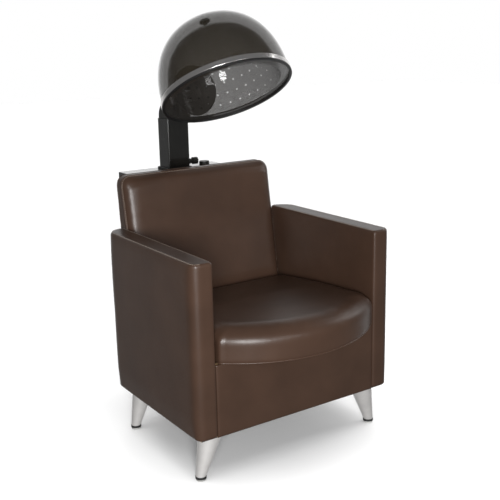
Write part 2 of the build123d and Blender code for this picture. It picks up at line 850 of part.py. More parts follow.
def make_heater():
    """Heater duct under the column, its coil, and the thermal cut-out."""
    wall = 1.5
    low = fan_z - scroll_large_radius
    left = outlet_x
    right = column_half_width
    with BuildPart() as duct:
        box_between((left, scroll_front_y, low), (right, scroll_rear_y, duct_top_z))
        box_between(
            (left, scroll_front_y + wall, low + wall),
            (right - wall, scroll_rear_y - wall, duct_top_z - wall),
            Mode.SUBTRACT,
        )
        with BuildSketch(Plane.XY.offset(duct_top_z - wall)):
            with Locations((0, column_y)):
                Rectangle(
                    2 * (column_half_width - column_wall),
                    column_rear_y - column_front_y - 2 * column_wall,
                )
        extrude(amount=wall, mode=Mode.SUBTRACT)
    save(duct.part, "heater_duct")
    coil_y = (scroll_front_y + scroll_rear_y) / 2
    coil_z = (low + duct_top_z) / 2
    coil_gap = 9.0
    coil_start = left + coil_gap
    coil_length = right - left - 2 * coil_gap
    coil_radius = 15.0
    wire_radius = 1.1
    pitch = 11.0
    cutout_radius = 9.0
    cutout_height = 7.0
    terminal_width = 3.0
    terminal_height = 12.0
    terminal_length = 5.0
    with BuildPart() as coil:
        with BuildLine():
            path = Helix(
                pitch=pitch, height=coil_length, radius=coil_radius,
                center=(coil_start, coil_y, coil_z), direction=(1, 0, 0),
            )
        with BuildSketch(Plane(path @ 0, z_dir=path % 0)):
            Circle(wire_radius)
        sweep(is_frenet=True)
    save(coil.part, "heater_coil")
    with BuildPart() as cutout:
        with BuildSketch(front_plane(scroll_front_y)):
            with Locations((0, coil_z)):
                Circle(cutout_radius)
        extrude(amount=cutout_height)
        with BuildSketch(front_plane(scroll_front_y - cutout_height)):
            with Locations((0, coil_z)):
                Rectangle(terminal_width, terminal_height)
        extrude(amount=terminal_length)
    save(cutout.part, "thermal_cutout")


def make_controls():
    """Timer with its dial, and heat switch with its rocker."""
    timer_top = box_top_z - sheet
    timer_size = 46.0
    timer_depth = 34.0
    stem_radius = 3.0
    stem_length = 22.0
    dial_gap = 1.5
    dial_height = 14.0
    dial_taper = 3.0
    grip_count = 18
    grip_radius = 1.6
    grip_offset = 0.8
    grip_top = 3.0
    with BuildPart() as timer:
        with BuildSketch(Plane.XY.offset(timer_top)):
            with Locations((dial_x, dial_y)):
                RectangleRounded(timer_size, timer_size, 4.0)
        extrude(amount=-timer_depth)
        with Locations((dial_x, dial_y, timer_top)):
            Cylinder(
                stem_radius + running_clearance, stem_length,
                align=hanging, mode=Mode.SUBTRACT,
            )
    save(timer.part, "timer_mechanism")
    dial_bottom = box_top_z + dial_gap
    with BuildPart() as dial:
        with BuildSketch(Plane.XY.offset(dial_bottom)):
            with Locations((dial_x, dial_y)):
                Circle(dial_radius)
        extrude(amount=dial_height, taper=dial_taper)
        with BuildSketch(Plane.XY.offset(dial_bottom)):
            with Locations((dial_x, dial_y)):
                with PolarLocations(dial_radius + grip_offset, grip_count):
                    Circle(grip_radius)
        extrude(amount=dial_height - grip_top, mode=Mode.SUBTRACT)
        with Locations((dial_x, dial_y, dial_bottom)):
            Cylinder(stem_radius, stem_length, align=hanging)
    save(dial.part, "timer_dial")
    wall = box_half_width
    pivot_x = wall - 2.0
    rocker_radius = 9.0
    rocker_proud = 4.5
    slot_width = 12.0
    slot_gap = 0.4
    switch_depth = 22.0
    bezel_half_width = 12.0
    bezel_half_height = 16.0
    bezel_thickness = 2.0
    with BuildPart() as switch:
        box_between(
            (wall - switch_depth, rocker_y - rocker_hole_width / 2, rocker_z - rocker_hole_height / 2),
            (wall, rocker_y + rocker_hole_width / 2, rocker_z + rocker_hole_height / 2),
        )
        box_between(
            (wall, rocker_y - bezel_half_width, rocker_z - bezel_half_height),
            (wall + bezel_thickness, rocker_y + bezel_half_width, rocker_z + bezel_half_height),
        )
        with Locations(Plane((pivot_x, rocker_y, rocker_z), x_dir=(1, 0, 0), z_dir=(0, 1, 0))):
            Cylinder(rocker_radius + slot_gap, slot_width + 2 * slot_gap, mode=Mode.SUBTRACT)
    save(switch.part, "heat_switch")
    with BuildPart() as rocker:
        with BuildSketch(front_plane(rocker_y + slot_width / 2)):
            with Locations((pivot_x, rocker_z)):
                Circle(rocker_radius)
            Polygon(
                (wall + 1.0, rocker_z - slot_width),
                (wall + rocker_proud, rocker_z),
                (wall + 1.0, rocker_z + slot_width),
                (wall + switch_depth, rocker_z + slot_width),
                (wall + switch_depth, rocker_z - slot_width),
                align=None, mode=Mode.SUBTRACT,
            )
        extrude(amount=slot_width)
    save(rocker.part, "heat_rocker")


# ======== Dryer: column, telescoping duct and elbow ========

bush_height = 26.0
bush_low_z = 805.0
bush_high_z = 880.0
collar_height = 7.0
collar_width = 6.0
lock_boss_length = 20.0
lock_boss_radius = 9.0
lock_radius = 4.0
knob_gap = 2.0
knob_neck_length = 6.0
knob_neck_radius = 7.0
knob_radius = 11.5
knob_length = 18.0
knob_flutes = 8
knob_flute_circle = 12.6
knob_flute_radius = 2.4
duct_wall = 1.5


def tube_section(half_x, half_y, inner_x, inner_y, radius):
    """Section of a rectangular tube around the column's axis."""
    inner_radius = max(radius - (half_x - inner_x), 0.5)
    with BuildSketch() as section:
        with Locations((0, column_y)):
            RectangleRounded(2 * half_x, 2 * half_y, radius)
            RectangleRounded(2 * inner_x, 2 * inner_y, inner_radius, mode=Mode.SUBTRACT)
    return section.sketch


def make_column():
    """Outer tube with its collar, bushes, clamp boss and clamp knob."""
    half_y = (column_rear_y - column_front_y) / 2
    in_x = column_half_width - column_wall
    in_y = half_y - column_wall
    lock_plane = Plane((in_x - 1, column_y, lock_z), x_dir=(0, 1, 0), z_dir=(1, 0, 0))
    tube_outline = tube_section(column_half_width, half_y, in_x, in_y, 3.0)
    collar_outline = tube_section(
        column_half_width + collar_width, half_y + collar_width, column_half_width, half_y, 5.0
    )
    bush_outline = tube_section(
        in_x, in_y, duct_half_width + bush_clearance, duct_half_depth + bush_clearance, 1.5
    )
    duct_outline = tube_section(
        duct_half_width, duct_half_depth, duct_half_width - duct_wall, duct_half_depth - duct_wall, 2.0
    )
    with BuildPart() as tube:
        with BuildSketch(Plane.XY.offset(column_bottom_z)):
            add(tube_outline)
        extrude(amount=column_top_z - column_bottom_z)
        with Locations(lock_plane):
            Cylinder(
                lock_radius + running_clearance, column_wall + 2,
                align=standing, mode=Mode.SUBTRACT,
            )
    save(tube.part, "column_tube")
    with BuildPart() as collar:
        with BuildSketch(Plane.XY.offset(box_top_z)):
            add(collar_outline)
        extrude(amount=collar_height)
        top_edges = collar.faces().sort_by(Axis.Z)[-1].outer_wire().edges()
        fillet(top_edges, radius=2.0)
    save(collar.part, "column_collar")
    with BuildPart() as bushes:
        for z in (bush_low_z, bush_high_z):
            with BuildSketch(Plane.XY.offset(z)):
                add(bush_outline)
            extrude(amount=bush_height)
    save(bushes.part, "guide_bushes")
    with BuildPart() as boss:
        with BuildSketch(side_plane(column_half_width)):
            with Locations((column_y, lock_z)):
                Circle(lock_boss_radius)
                Circle(lock_radius + running_clearance, mode=Mode.SUBTRACT)
        extrude(amount=lock_boss_length)
        fillet(boss.faces().sort_by(Axis.X)[-1].outer_wire().edges(), radius=1.0)
    save(boss.part, "lock_boss")
    knob_start = column_half_width + lock_boss_length + knob_gap
    stud_start = duct_half_width + 0.3
    with BuildPart() as knob:
        with BuildSketch(side_plane(stud_start)):
            with Locations((column_y, lock_z)):
                Circle(lock_radius)
        extrude(amount=knob_start + knob_neck_length - stud_start)
        with BuildSketch(side_plane(knob_start)):
            with Locations((column_y, lock_z)):
                Circle(knob_neck_radius)
        extrude(amount=knob_neck_length)
        with BuildSketch(side_plane(knob_start + knob_neck_length)):
            with Locations((column_y, lock_z)):
                Circle(knob_radius)
                with PolarLocations(knob_flute_circle, knob_flutes):
                    Circle(knob_flute_radius, mode=Mode.SUBTRACT)
        extrude(amount=knob_length)
        fillet(knob.faces().sort_by(Axis.X)[-1].edges(), radius=0.8)
    save(knob.part, "lock_knob")
    with BuildPart() as duct:
        with BuildSketch(Plane.XY.offset(duct_bottom_z)):
            add(duct_outline)
        extrude(amount=column_top_z + 0.5 - duct_bottom_z)
    save(duct.part, "inner_duct")


def knuckle_hull(radius_here, radius_there, there_y, there_z):
    """Side outline that runs from the knuckle to a second circle, in the sketch being built."""
    with Locations((knuckle_y, knuckle_z)):
        Circle(radius_here)
    with Locations((there_y, there_z)):
        Circle(radius_there)
    make_hull()


def make_elbow():
    """Fixed elbow on the duct: turns the air forwards and ends in the middle leaf of the tilt knuckle."""
    wall = 2.5
    base_z = column_top_z + 0.5
    reach = knuckle_radius + 1.5
    with BuildPart() as elbow:
        with BuildSketch(side_plane(-column_half_width + 2)):
            knuckle_hull(22.0, elbow_radius, elbow_y, elbow_z)
        extrude(amount=2 * column_half_width - 4)
        with BuildSketch(side_plane(-column_half_width)):
            Polygon(
                (column_y - duct_half_depth - 2.0, base_z - 1.0),
                (column_y - duct_half_depth - 48.0, base_z + 34.0),
                (column_y - duct_half_depth - 120.0, base_z + 34.0),
                (column_y - duct_half_depth - 120.0, base_z - 1.0),
                align=None,
            )
        extrude(amount=2 * column_half_width, mode=Mode.SUBTRACT)
        with BuildSketch(side_plane(-column_half_width)):
            with Locations((knuckle_y, knuckle_z)):
                Circle(reach)
        extrude(amount=2 * column_half_width, mode=Mode.SUBTRACT)
        with BuildSketch(side_plane(-knuckle_half_width)):
            knuckle_hull(22.0, 30.0, knuckle_y + 45.0, knuckle_z - 39.5)
            with Locations((knuckle_y, knuckle_z)):
                Circle(knuckle_radius - 1.0)
        extrude(amount=2 * knuckle_half_width)
        with BuildSketch(Plane.XY.offset(base_z)):
            with Locations((0, 300.0)):
                Rectangle(100.0, 260.0)
        extrude(amount=-120.0, mode=Mode.SUBTRACT)
        with BuildSketch(side_plane(-knuckle_half_width + wall)):
            knuckle_hull(18.0, 26.0, elbow_y, elbow_z + 10.0)
        extrude(amount=2 * (knuckle_half_width - wall), mode=Mode.SUBTRACT)
        with BuildSketch(side_plane(-knuckle_half_width + wall)):
            with BuildLine():
                Polyline(
                    (knuckle_y, knuckle_z - 18.0),
                    (knuckle_y, knuckle_z + 18.0),
                    (knuckle_y - 60.0, knuckle_z + 52.0),
                    (knuckle_y - 60.0, knuckle_z + 16.0),
                    close=True,
                )
            make_face()
        extrude(amount=2 * (knuckle_half_width - wall), mode=Mode.SUBTRACT)
        with BuildSketch(Plane.XY.offset(base_z)):
            with Locations((0, column_y)):
                Rectangle(2 * duct_half_width - 3.0, 2 * duct_half_depth - 3.0)
        extrude(amount=22.0, mode=Mode.SUBTRACT)
        with Locations(Plane((0, knuckle_y, knuckle_z), x_dir=(0, 1, 0), z_dir=(1, 0, 0))):
            Cylinder(pin_radius + running_clearance, 200.0, mode=Mode.SUBTRACT)
    save(elbow.part, "elbow_duct")


# ======== Dryer: hood ========


def dome_solid(radius, height, power, base=0.0):
    """Solid of revolution under a superellipse, with a straight skirt down to the base."""
    points = dome_outline(radius, height, power)
    with BuildPart() as solid:
        with BuildSketch(hood_profile_plane):
            with BuildLine():
                Spline(*points, tangents=((0, 1), (-1, 0)))
                Line(points[-1], (0, base))
                Line((0, base), (radius, base))
                if base < 0:
                    Line((radius, base), points[0])
            make_face()
        revolve(axis=hood_axis)
    return solid.part


def hub_disc(radius, out_low, out_high):
    """Disc around the hub's axis, from one distance from the hood's axis to another."""
    with BuildPart() as disc:
        with BuildSketch(Plane(hood_point(0, out_low, hub_height), x_dir=(1, 0, 0), z_dir=hood_rear)):
            Circle(radius)
        extrude(amount=out_high - out_low)
    return disc.part


hub_screw_circle = 58.0
hub_screw_radius = 2.0
hub_screw_depth = 9.0
air_port_radius = 36.0
air_port_margin = 12.0
saddle_thickness = 10.0
hood_gap = 0.3
hub_start = 60.0
skirt_cut = 60.0
gasket_lip = 1.0
gasket_drop = 1.5
plug_radius = 16.0
plug_height = 4.5
plug_edge_radius = 2.0
plug_stem_radius = 6.0
plug_stem_length = 8.0
plug_gap = 0.1


def hub_screw_planes(inwards):
    """Planes of the hub's screws, a given depth under the dome's surface, pointing to the hood's rear."""
    planes = []
    for angle in (45, 135, 225, 315):
        x = hub_screw_circle * cos(radians(angle))
        up = hub_height + hub_screw_circle * sin(radians(angle))
        out = (dome_radius_at(up, dome_radius, dome_height, dome_power) ** 2 - x**2) ** 0.5 - inwards
        planes.append(Plane(hood_point(x, out, up), x_dir=(1, 0, 0), z_dir=hood_rear))
    return planes


def cut_hub_screws():
    """Screw holes of the hub, in the part being built."""
    with Locations(*hub_screw_planes(2 * hub_screw_depth)):
        Cylinder(hub_screw_radius, 4 * hub_screw_depth, align=standing, mode=Mode.SUBTRACT)


def make_neck():
    """Yoke that carries the hood on the knuckle, its pin and washers, and the saddle on the dome."""
    cheek_in = knuckle_half_width + knuckle_gap
    cheek_out = column_half_width - 2.0
    reach = knuckle_radius + 1.5
    near = hood_point(0, hub_out, hub_height)
    air_port = hub_disc(air_port_radius, hub_start, hub_out + air_port_radius)
    yoke_port = hub_disc(air_port_radius - air_port_margin, hub_start, hub_out + knuckle_radius - 2.0)
    seat_offset = saddle_thickness + hood_gap
    saddle_seat = dome_solid(
        dome_radius + seat_offset, dome_height + seat_offset, dome_power, base=-skirt_cut
    )
    with BuildPart() as yoke:
        with BuildSketch(side_plane(-cheek_out)):
            with Locations((knuckle_y, knuckle_z)):
                Circle(knuckle_radius)
            with Locations((near[1], near[2])):
                Circle(40.0)
            make_hull()
        extrude(amount=2 * cheek_out)
        with BuildSketch(side_plane(-cheek_in)):
            with Locations((knuckle_y, knuckle_z)):
                Circle(reach)
        extrude(amount=2 * cheek_in, mode=Mode.SUBTRACT)
        with BuildSketch(side_plane(-cheek_in)):
            Polygon(
                (knuckle_y, knuckle_z + 80.0),
                (knuckle_y + 80.0, knuckle_z + 80.0),
                (knuckle_y + 80.0, knuckle_z - 80.0),
                (knuckle_y, knuckle_z - 80.0),
                align=None,
            )
        extrude(amount=2 * cheek_in, mode=Mode.SUBTRACT)
        add(yoke_port, mode=Mode.SUBTRACT)
        add(saddle_seat, mode=Mode.SUBTRACT)
        with Locations(Plane((0, knuckle_y, knuckle_z), x_dir=(0, 1, 0), z_dir=(1, 0, 0))):
            Cylinder(pin_radius, 200.0, mode=Mode.SUBTRACT)
    save(yoke.part, "neck_yoke")
    with BuildPart() as pin:
        with BuildSketch(side_plane(-cheek_out - 2.0)):
            with Locations((knuckle_y, knuckle_z)):
                Circle(pin_radius)
        extrude(amount=2 * cheek_out + 4.0)
        for start in (-cheek_out - 5.0, cheek_out):
            with BuildSketch(side_plane(start)):
                with Locations((knuckle_y, knuckle_z)):
                    Circle(9.0)
            extrude(amount=5.0)
        fillet(pin.faces().sort_by(Axis.X)[-1].edges(), radius=2.0)
        fillet(pin.faces().sort_by(Axis.X)[0].edges(), radius=2.0)
    save(pin.part, "tilt_pin")
    with BuildPart() as washers:
        with BuildSketch(side_plane(knuckle_half_width + 0.1)):
            with Locations((knuckle_y, knuckle_z)):
                Circle(18.0)
                Circle(pin_radius + 0.3, mode=Mode.SUBTRACT)
        extrude(amount=knuckle_gap - 0.2)
        mirror(about=Plane.YZ)
    save(washers.part, "friction_washers")
    saddle_disc = hub_disc(hub_radius - 5.0, hub_start, hub_out + saddle_thickness + 4.0)
    saddle_skin = dome_solid(
        dome_radius + saddle_thickness, dome_height + saddle_thickness, dome_power, base=-skirt_cut
    )
    dome_skin = dome_solid(dome_radius + hood_gap, dome_height + hood_gap, dome_power, base=-skirt_cut)
    with BuildPart() as saddle:
        add(saddle_disc)
        add(saddle_skin, mode=Mode.INTERSECT)
        add(dome_skin, mode=Mode.SUBTRACT)
        add(air_port, mode=Mode.SUBTRACT)
        cut_hub_screws()
    save(saddle.part, "hub_saddle")
    ring_thickness = 4.0
    inner_radius = dome_radius - dome_wall - hood_gap
    inner_height = dome_height - dome_wall - hood_gap
    clamp_disc = hub_disc(hub_radius, hub_start, hub_out + 4.0)
    clamp_outside = dome_solid(inner_radius, inner_height, dome_power, base=-skirt_cut)
    clamp_inside = dome_solid(
        inner_radius - ring_thickness, inner_height - ring_thickness, dome_power, base=-skirt_cut
    )
    with BuildPart() as clamp:
        add(clamp_disc)
        add(clamp_outside, mode=Mode.INTERSECT)
        add(clamp_inside, mode=Mode.SUBTRACT)
        add(air_port, mode=Mode.SUBTRACT)
        cut_hub_screws()
    save(clamp.part, "clamp_ring")


def make_hood():
    """Outer dome, perforated inner bowl, rim band, gasket and crown plug."""
    dome_outside = dome_solid(dome_radius, dome_height, dome_power)
    dome_inside = dome_solid(dome_radius - dome_wall, dome_height - dome_wall, dome_power)
    bowl_outside = dome_solid(bowl_radius, bowl_height, bowl_power)
    bowl_inside = dome_solid(bowl_radius - bowl_wall, bowl_height - bowl_wall, bowl_power)
    air_port = hub_disc(air_port_radius, hub_start, hub_out + air_port_radius)
    with BuildPart() as dome:
        add(dome_outside)
        add(dome_inside, mode=Mode.SUBTRACT)
        with BuildSketch(Plane(hood_point(0, 0, -1), x_dir=(1, 0, 0), z_dir=hood_up)):
            Circle(dome_radius + 20)
        extrude(amount=1 + skirt_height, mode=Mode.SUBTRACT)
        add(air_port, mode=Mode.SUBTRACT)
        cut_hub_screws()
        with Locations(Plane(hood_point(0, 0, dome_height - 10), x_dir=(1, 0, 0), z_dir=hood_up)):
            Cylinder(plug_stem_radius, 20.0, mode=Mode.SUBTRACT)
    save(dome.part, "outer_dome")
    with BuildPart() as bowl:
        add(bowl_outside)
        with BuildSketch(Plane(hood_point(0, 0, skirt_height), x_dir=(1, 0, 0), z_dir=hood_up)):
            Circle(dome_radius - dome_wall - 0.4)
        extrude(amount=bowl_wall)
        add(bowl_inside, mode=Mode.SUBTRACT)
        with BuildSketch(Plane(hood_point(0, 0, -1), x_dir=(1, 0, 0), z_dir=hood_up)):
            Circle(dome_radius + 20)
        extrude(amount=1 + skirt_height, mode=Mode.SUBTRACT)
        hole_planes = []
        for row in range(air_hole_rows):
            up = air_hole_first_row + row * air_hole_row_pitch
            out = dome_radius_at(up, bowl_radius, bowl_height, bowl_power)
            steeper = dome_radius_at(up + 1.0, bowl_radius, bowl_height, bowl_power)
            slope_up = out - steeper
            for k in range(air_holes_per_row):
                angle = radians(10.0) + 2 * pi * k / air_holes_per_row
                at = hood_point(out * cos(angle), out * sin(angle), up)
                outwards = Vector(1, 0, 0) * cos(angle) + Vector(*hood_rear) * sin(angle)
                normal = outwards + Vector(*hood_up) * slope_up
                hole_planes.append(Plane(at, z_dir=normal))
        with Locations(*hole_planes):
            Cylinder(air_hole_radius, 12.0, mode=Mode.SUBTRACT)
    save(bowl.part, "inner_bowl")
    with BuildPart() as band:
        with BuildSketch(hood_profile_plane):
            with Locations((dome_radius + hood_gap, skirt_height)):
                Rectangle(
                    rim_radius - dome_radius - hood_gap,
                    rim_height - skirt_height,
                    align=(Align.MIN, Align.MIN),
                )
        revolve(axis=hood_axis)
        outer_edges = band.edges().filter_by(GeomType.CIRCLE).sort_by(SortBy.RADIUS)[-2:]
        fillet(outer_edges, radius=1.5)
    save(band.part, "rim_band")
    with BuildPart() as gasket:
        with BuildSketch(hood_profile_plane):
            with Locations((dome_radius - dome_wall - gasket_lip, -gasket_drop)):
                Rectangle(
                    rim_radius - dome_radius + dome_wall + gasket_lip,
                    skirt_height + gasket_drop,
                    align=(Align.MIN, Align.MIN),
                )
        revolve(axis=hood_axis)
        low_edges = gasket.edges().filter_by(GeomType.CIRCLE).sort_by(SortBy.RADIUS)[-2:]
        fillet(low_edges, radius=1.2)
    save(gasket.part, "rim_gasket")
    plug_plane = Plane(
        hood_point(0, 0, dome_height + plug_gap), x_dir=(1, 0, 0), z_dir=hood_up
    )
    with BuildPart() as plug:
        with BuildSketch(plug_plane):
            Circle(plug_radius)
        extrude(amount=plug_height)
        top_edge = plug.edges().filter_by(GeomType.CIRCLE).sort_by(Axis.Z)[-1]
        fillet(top_edge, radius=plug_edge_radius)
        with BuildSketch(plug_plane):
            Circle(plug_stem_radius)
        extrude(amount=-plug_stem_length)
    save(plug.part, "crown_plug")
    with BuildPart() as screws:
        with Locations(*hub_screw_planes(hub_screw_depth)):
            Cylinder(hub_screw_radius, hub_screw_depth + saddle_thickness, align=standing)
    save(screws.part, "hub_screws")


for arm_side, arm_mirrored in (("right", False), ("left", True)):
    make_arm(arm_side, arm_mirrored)
make_legs()
make_rails()
make_seat()
make_back()
make_bracket()
make_housing()
make_blower()
make_heater()
make_controls()
make_column()
make_elbow()
make_neck()
make_hood()
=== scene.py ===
"""Salon dryer chair: the looks.

Everything is in metres, in the CAD model's frame: +Z is up and -Y points to the front.
"""
import bmesh
import bpy
import json
import numpy as np
from math import asin, cos, pi, radians, sin, sqrt
from mathutils import Matrix, Vector, noise
from mathutils.bvhtree import BVHTree


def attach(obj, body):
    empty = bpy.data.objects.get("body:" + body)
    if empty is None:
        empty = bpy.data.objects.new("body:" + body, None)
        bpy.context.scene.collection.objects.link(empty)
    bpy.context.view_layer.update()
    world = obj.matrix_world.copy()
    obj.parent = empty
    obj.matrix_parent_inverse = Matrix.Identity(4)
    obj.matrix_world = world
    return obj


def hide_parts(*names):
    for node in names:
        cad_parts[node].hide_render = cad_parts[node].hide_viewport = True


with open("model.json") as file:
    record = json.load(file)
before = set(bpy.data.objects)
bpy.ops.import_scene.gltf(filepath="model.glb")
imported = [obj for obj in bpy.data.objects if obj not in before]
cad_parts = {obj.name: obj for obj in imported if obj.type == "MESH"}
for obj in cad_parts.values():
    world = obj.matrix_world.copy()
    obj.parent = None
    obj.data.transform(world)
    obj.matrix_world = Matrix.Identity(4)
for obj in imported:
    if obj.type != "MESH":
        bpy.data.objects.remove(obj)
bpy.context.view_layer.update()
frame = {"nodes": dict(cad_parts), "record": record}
scene = bpy.context.scene

# ======== Materials ========


def new_material(name, color, roughness, metallic=0.0):
    """A material with one Principled shader, whose constant values are on its own sockets."""
    mat = bpy.data.materials.new(name)
    mat.use_nodes = True
    shader = mat.node_tree.nodes["Principled BSDF"]
    shader.inputs["Base Color"].default_value = (*color, 1.0)
    shader.inputs["Roughness"].default_value = roughness
    shader.inputs["Metallic"].default_value = metallic
    mat.diffuse_color = (*color, 1.0)
    return mat, mat.node_tree.nodes, mat.node_tree.links, shader


def object_coordinates(tree_nodes, links, stretch=(1.0, 1.0, 1.0)):
    """Object coordinates, stretched along each axis."""
    coordinates = tree_nodes.new("ShaderNodeTexCoord")
    mapping = tree_nodes.new("ShaderNodeMapping")
    mapping.inputs["Scale"].default_value = stretch
    links.new(coordinates.outputs["Object"], mapping.inputs["Vector"])
    return mapping.outputs["Vector"]


def add_noise(tree_nodes, links, vector, scale, detail=3.0, rough=0.5):
    """A noise texture's grey output."""
    texture = tree_nodes.new("ShaderNodeTexNoise")
    texture.inputs["Scale"].default_value = scale
    texture.inputs["Detail"].default_value = detail
    texture.inputs["Roughness"].default_value = rough
    links.new(vector, texture.inputs["Vector"])
    return texture.outputs["Fac"]


def add_ramp(tree_nodes, links, value, stops):
    """A colour ramp with (position, colour) stops."""
    ramp = tree_nodes.new("ShaderNodeValToRGB")
    ramp.color_ramp.elements[0].position = stops[0][0]
    ramp.color_ramp.elements[0].color = (*stops[0][1], 1.0)
    ramp.color_ramp.elements[1].position = stops[-1][0]
    ramp.color_ramp.elements[1].color = (*stops[-1][1], 1.0)
    for position, color in stops[1:-1]:
        element = ramp.color_ramp.elements.new(position)
        element.color = (*color, 1.0)
    links.new(value, ramp.inputs["Fac"])
    return ramp.outputs["Color"]


def add_range(tree_nodes, links, value, low, high):
    """Maps 0..1 to low..high."""
    mapped = tree_nodes.new("ShaderNodeMapRange")
    mapped.inputs["To Min"].default_value = low
    mapped.inputs["To Max"].default_value = high
    links.new(value, mapped.inputs["Value"])
    return mapped.outputs["Result"]


def add_bump(tree_nodes, links, shader, height, strength, distance, below=None):
    """A bump node on the shader's normal, on top of another bump's normal if given."""
    bump = tree_nodes.new("ShaderNodeBump")
    bump.inputs["Strength"].default_value = strength
    bump.inputs["Distance"].default_value = distance
    links.new(height, bump.inputs["Height"])
    if below is not None:
        links.new(below, bump.inputs["Normal"])
    links.new(bump.outputs["Normal"], shader.inputs["Normal"])
    return bump.outputs["Normal"]


def shaded(color, factor):
    """A colour made lighter or darker."""
    return tuple(min(c * factor, 1.0) for c in color)


def vinyl(name, color):
    """Upholstery vinyl: pebbled grain, faint mottling, satin gloss with rubbed patches."""
    smoothest, roughest = 0.29, 0.41
    pebbles_per_metre = 620.0
    mat, tree, links, shader = new_material(name, color, roughest)
    vector = object_coordinates(tree, links)
    mottle = add_noise(tree, links, vector, 9.0, 4.0)
    stops = [(0.3, shaded(color, 0.86)), (0.55, color), (0.75, shaded(color, 1.12))]
    links.new(add_ramp(tree, links, mottle, stops), shader.inputs["Base Color"])
    rub = add_noise(tree, links, vector, 16.0, 5.0, 0.6)
    links.new(add_range(tree, links, rub, smoothest, roughest), shader.inputs["Roughness"])
    cells = tree.new("ShaderNodeTexVoronoi")
    cells.feature = "DISTANCE_TO_EDGE"
    cells.inputs["Scale"].default_value = pebbles_per_metre
    cells.inputs["Randomness"].default_value = 1.0
    links.new(vector, cells.inputs["Vector"])
    waves = add_noise(tree, links, vector, 60.0, 3.0)
    slow = add_bump(tree, links, shader, waves, 0.12, 0.0015)
    grain = add_range(tree, links, cells.outputs["Distance"], 0.0, 3.0)
    add_bump(tree, links, shader, grain, 0.22, 0.00025, slow)
    shader.inputs["Specular IOR Level"].default_value = 0.42
    return mat


def thread(name, color):
    """Twisted sewing thread."""
    mat, tree, links, shader = new_material(name, color, 0.6)
    vector = object_coordinates(tree, links)
    twist = add_noise(tree, links, vector, 1500.0, 2.0)
    stops = [(0.35, shaded(color, 0.6)), (0.65, shaded(color, 1.2))]
    links.new(add_ramp(tree, links, twist, stops), shader.inputs["Base Color"])
    add_bump(tree, links, shader, twist, 0.3, 0.0002)
    return mat


def brushed_metal(name, color, roughness, stretch, scale=900.0, tarnish=0.85, metallic=1.0):
    """Metal with fine lines along one direction, and faint stains."""
    mat, tree, links, shader = new_material(name, color, roughness, metallic)
    vector = object_coordinates(tree, links, stretch)
    lines = add_noise(tree, links, vector, scale, 2.0)
    plain = object_coordinates(tree, links)
    stain = add_noise(tree, links, plain, 28.0, 4.0)
    stops = [(0.3, shaded(color, tarnish)), (0.6, color)]
    links.new(add_ramp(tree, links, stain, stops), shader.inputs["Base Color"])
    links.new(add_range(tree, links, lines, roughness - 0.06, roughness + 0.1), shader.inputs["Roughness"])
    add_bump(tree, links, shader, lines, 0.12, 0.0002)
    return mat


def enamel(name, color, roughness):
    """Gloss enamel on sheet metal: faint orange peel and dust-dulled patches."""
    mat, tree, links, shader = new_material(name, color, roughness)
    vector = object_coordinates(tree, links)
    dust = add_noise(tree, links, vector, 14.0, 5.0)
    stops = [(0.35, color), (0.75, shaded(color, 1.7))]
    links.new(add_ramp(tree, links, dust, stops), shader.inputs["Base Color"])
    links.new(add_range(tree, links, dust, roughness * 0.7, roughness * 1.6), shader.inputs["Roughness"])
    add_bump(tree, links, shader, add_noise(tree, links, vector, 260.0, 2.0), 0.05, 0.0004)
    shader.inputs["Coat Weight"].default_value = 1.0
    shader.inputs["Coat Roughness"].default_value = 0.08
    return mat


def moulded(name, color, roughness):
    """Moulded plastic with a fine spark-eroded texture."""
    mat, tree, links, shader = new_material(name, color, roughness)
    vector = object_coordinates(tree, links)
    wear = add_noise(tree, links, vector, 22.0, 4.0)
    stops = [(0.35, shaded(color, 0.85)), (0.7, shaded(color, 1.35))]
    links.new(add_ramp(tree, links, wear, stops), shader.inputs["Base Color"])
    links.new(add_range(tree, links, wear, roughness * 0.8, roughness * 1.3), shader.inputs["Roughness"])
    add_bump(tree, links, shader, add_noise(tree, links, vector, 1400.0, 2.0), 0.12, 0.00015)
    return mat


def smoked(name, color, opacity, edge_power):
    """Smoked see-through shell: each skin holds back part of the light, more where seen edge-on."""
    longest_path = 20.0
    mat, tree, links, shader = new_material(name, color, 0.05)
    vector = object_coordinates(tree, links)
    haze = add_noise(tree, links, vector, 18.0, 5.0, 0.6)
    links.new(add_range(tree, links, haze, 0.02, 0.09), shader.inputs["Roughness"])
    stops = [(0.35, shaded(color, 0.9)), (0.7, shaded(color, 1.15))]
    links.new(add_ramp(tree, links, haze, stops), shader.inputs["Base Color"])
    slant = tree.new("ShaderNodeLayerWeight")
    slant.inputs["Blend"].default_value = 0.5
    stops = []
    for facing in (0.0, 0.3, 0.5, 0.65, 0.8, 1.0):
        path = 1.0 / max(1.0 - facing, 1.0 / longest_path) - 1.0
        held = 1.0 - (1.0 - opacity) ** (1.0 + edge_power * path)
        stops.append((facing, (held, held, held)))
    links.new(add_ramp(tree, links, slant.outputs["Facing"], stops), shader.inputs["Alpha"])
    shader.inputs["Specular IOR Level"].default_value = 0.25
    shader.inputs["Coat Weight"].default_value = 0.3
    shader.inputs["Coat Roughness"].default_value = 0.02
    shader.inputs["Coat IOR"].default_value = 1.3
    return mat


def plywood(name, color):
    """Bare wood with long grain along X."""
    mat, tree, links, shader = new_material(name, color, 0.7)
    vector = object_coordinates(tree, links, (1.0, 9.0, 9.0))
    grain = add_noise(tree, links, vector, 14.0, 6.0, 0.65)
    stops = [(0.3, shaded(color, 0.62)), (0.5, color), (0.7, shaded(color, 1.15))]
    links.new(add_ramp(tree, links, grain, stops), shader.inputs["Base Color"])
    add_bump(tree, links, shader, grain, 0.25, 0.0006)
    return mat


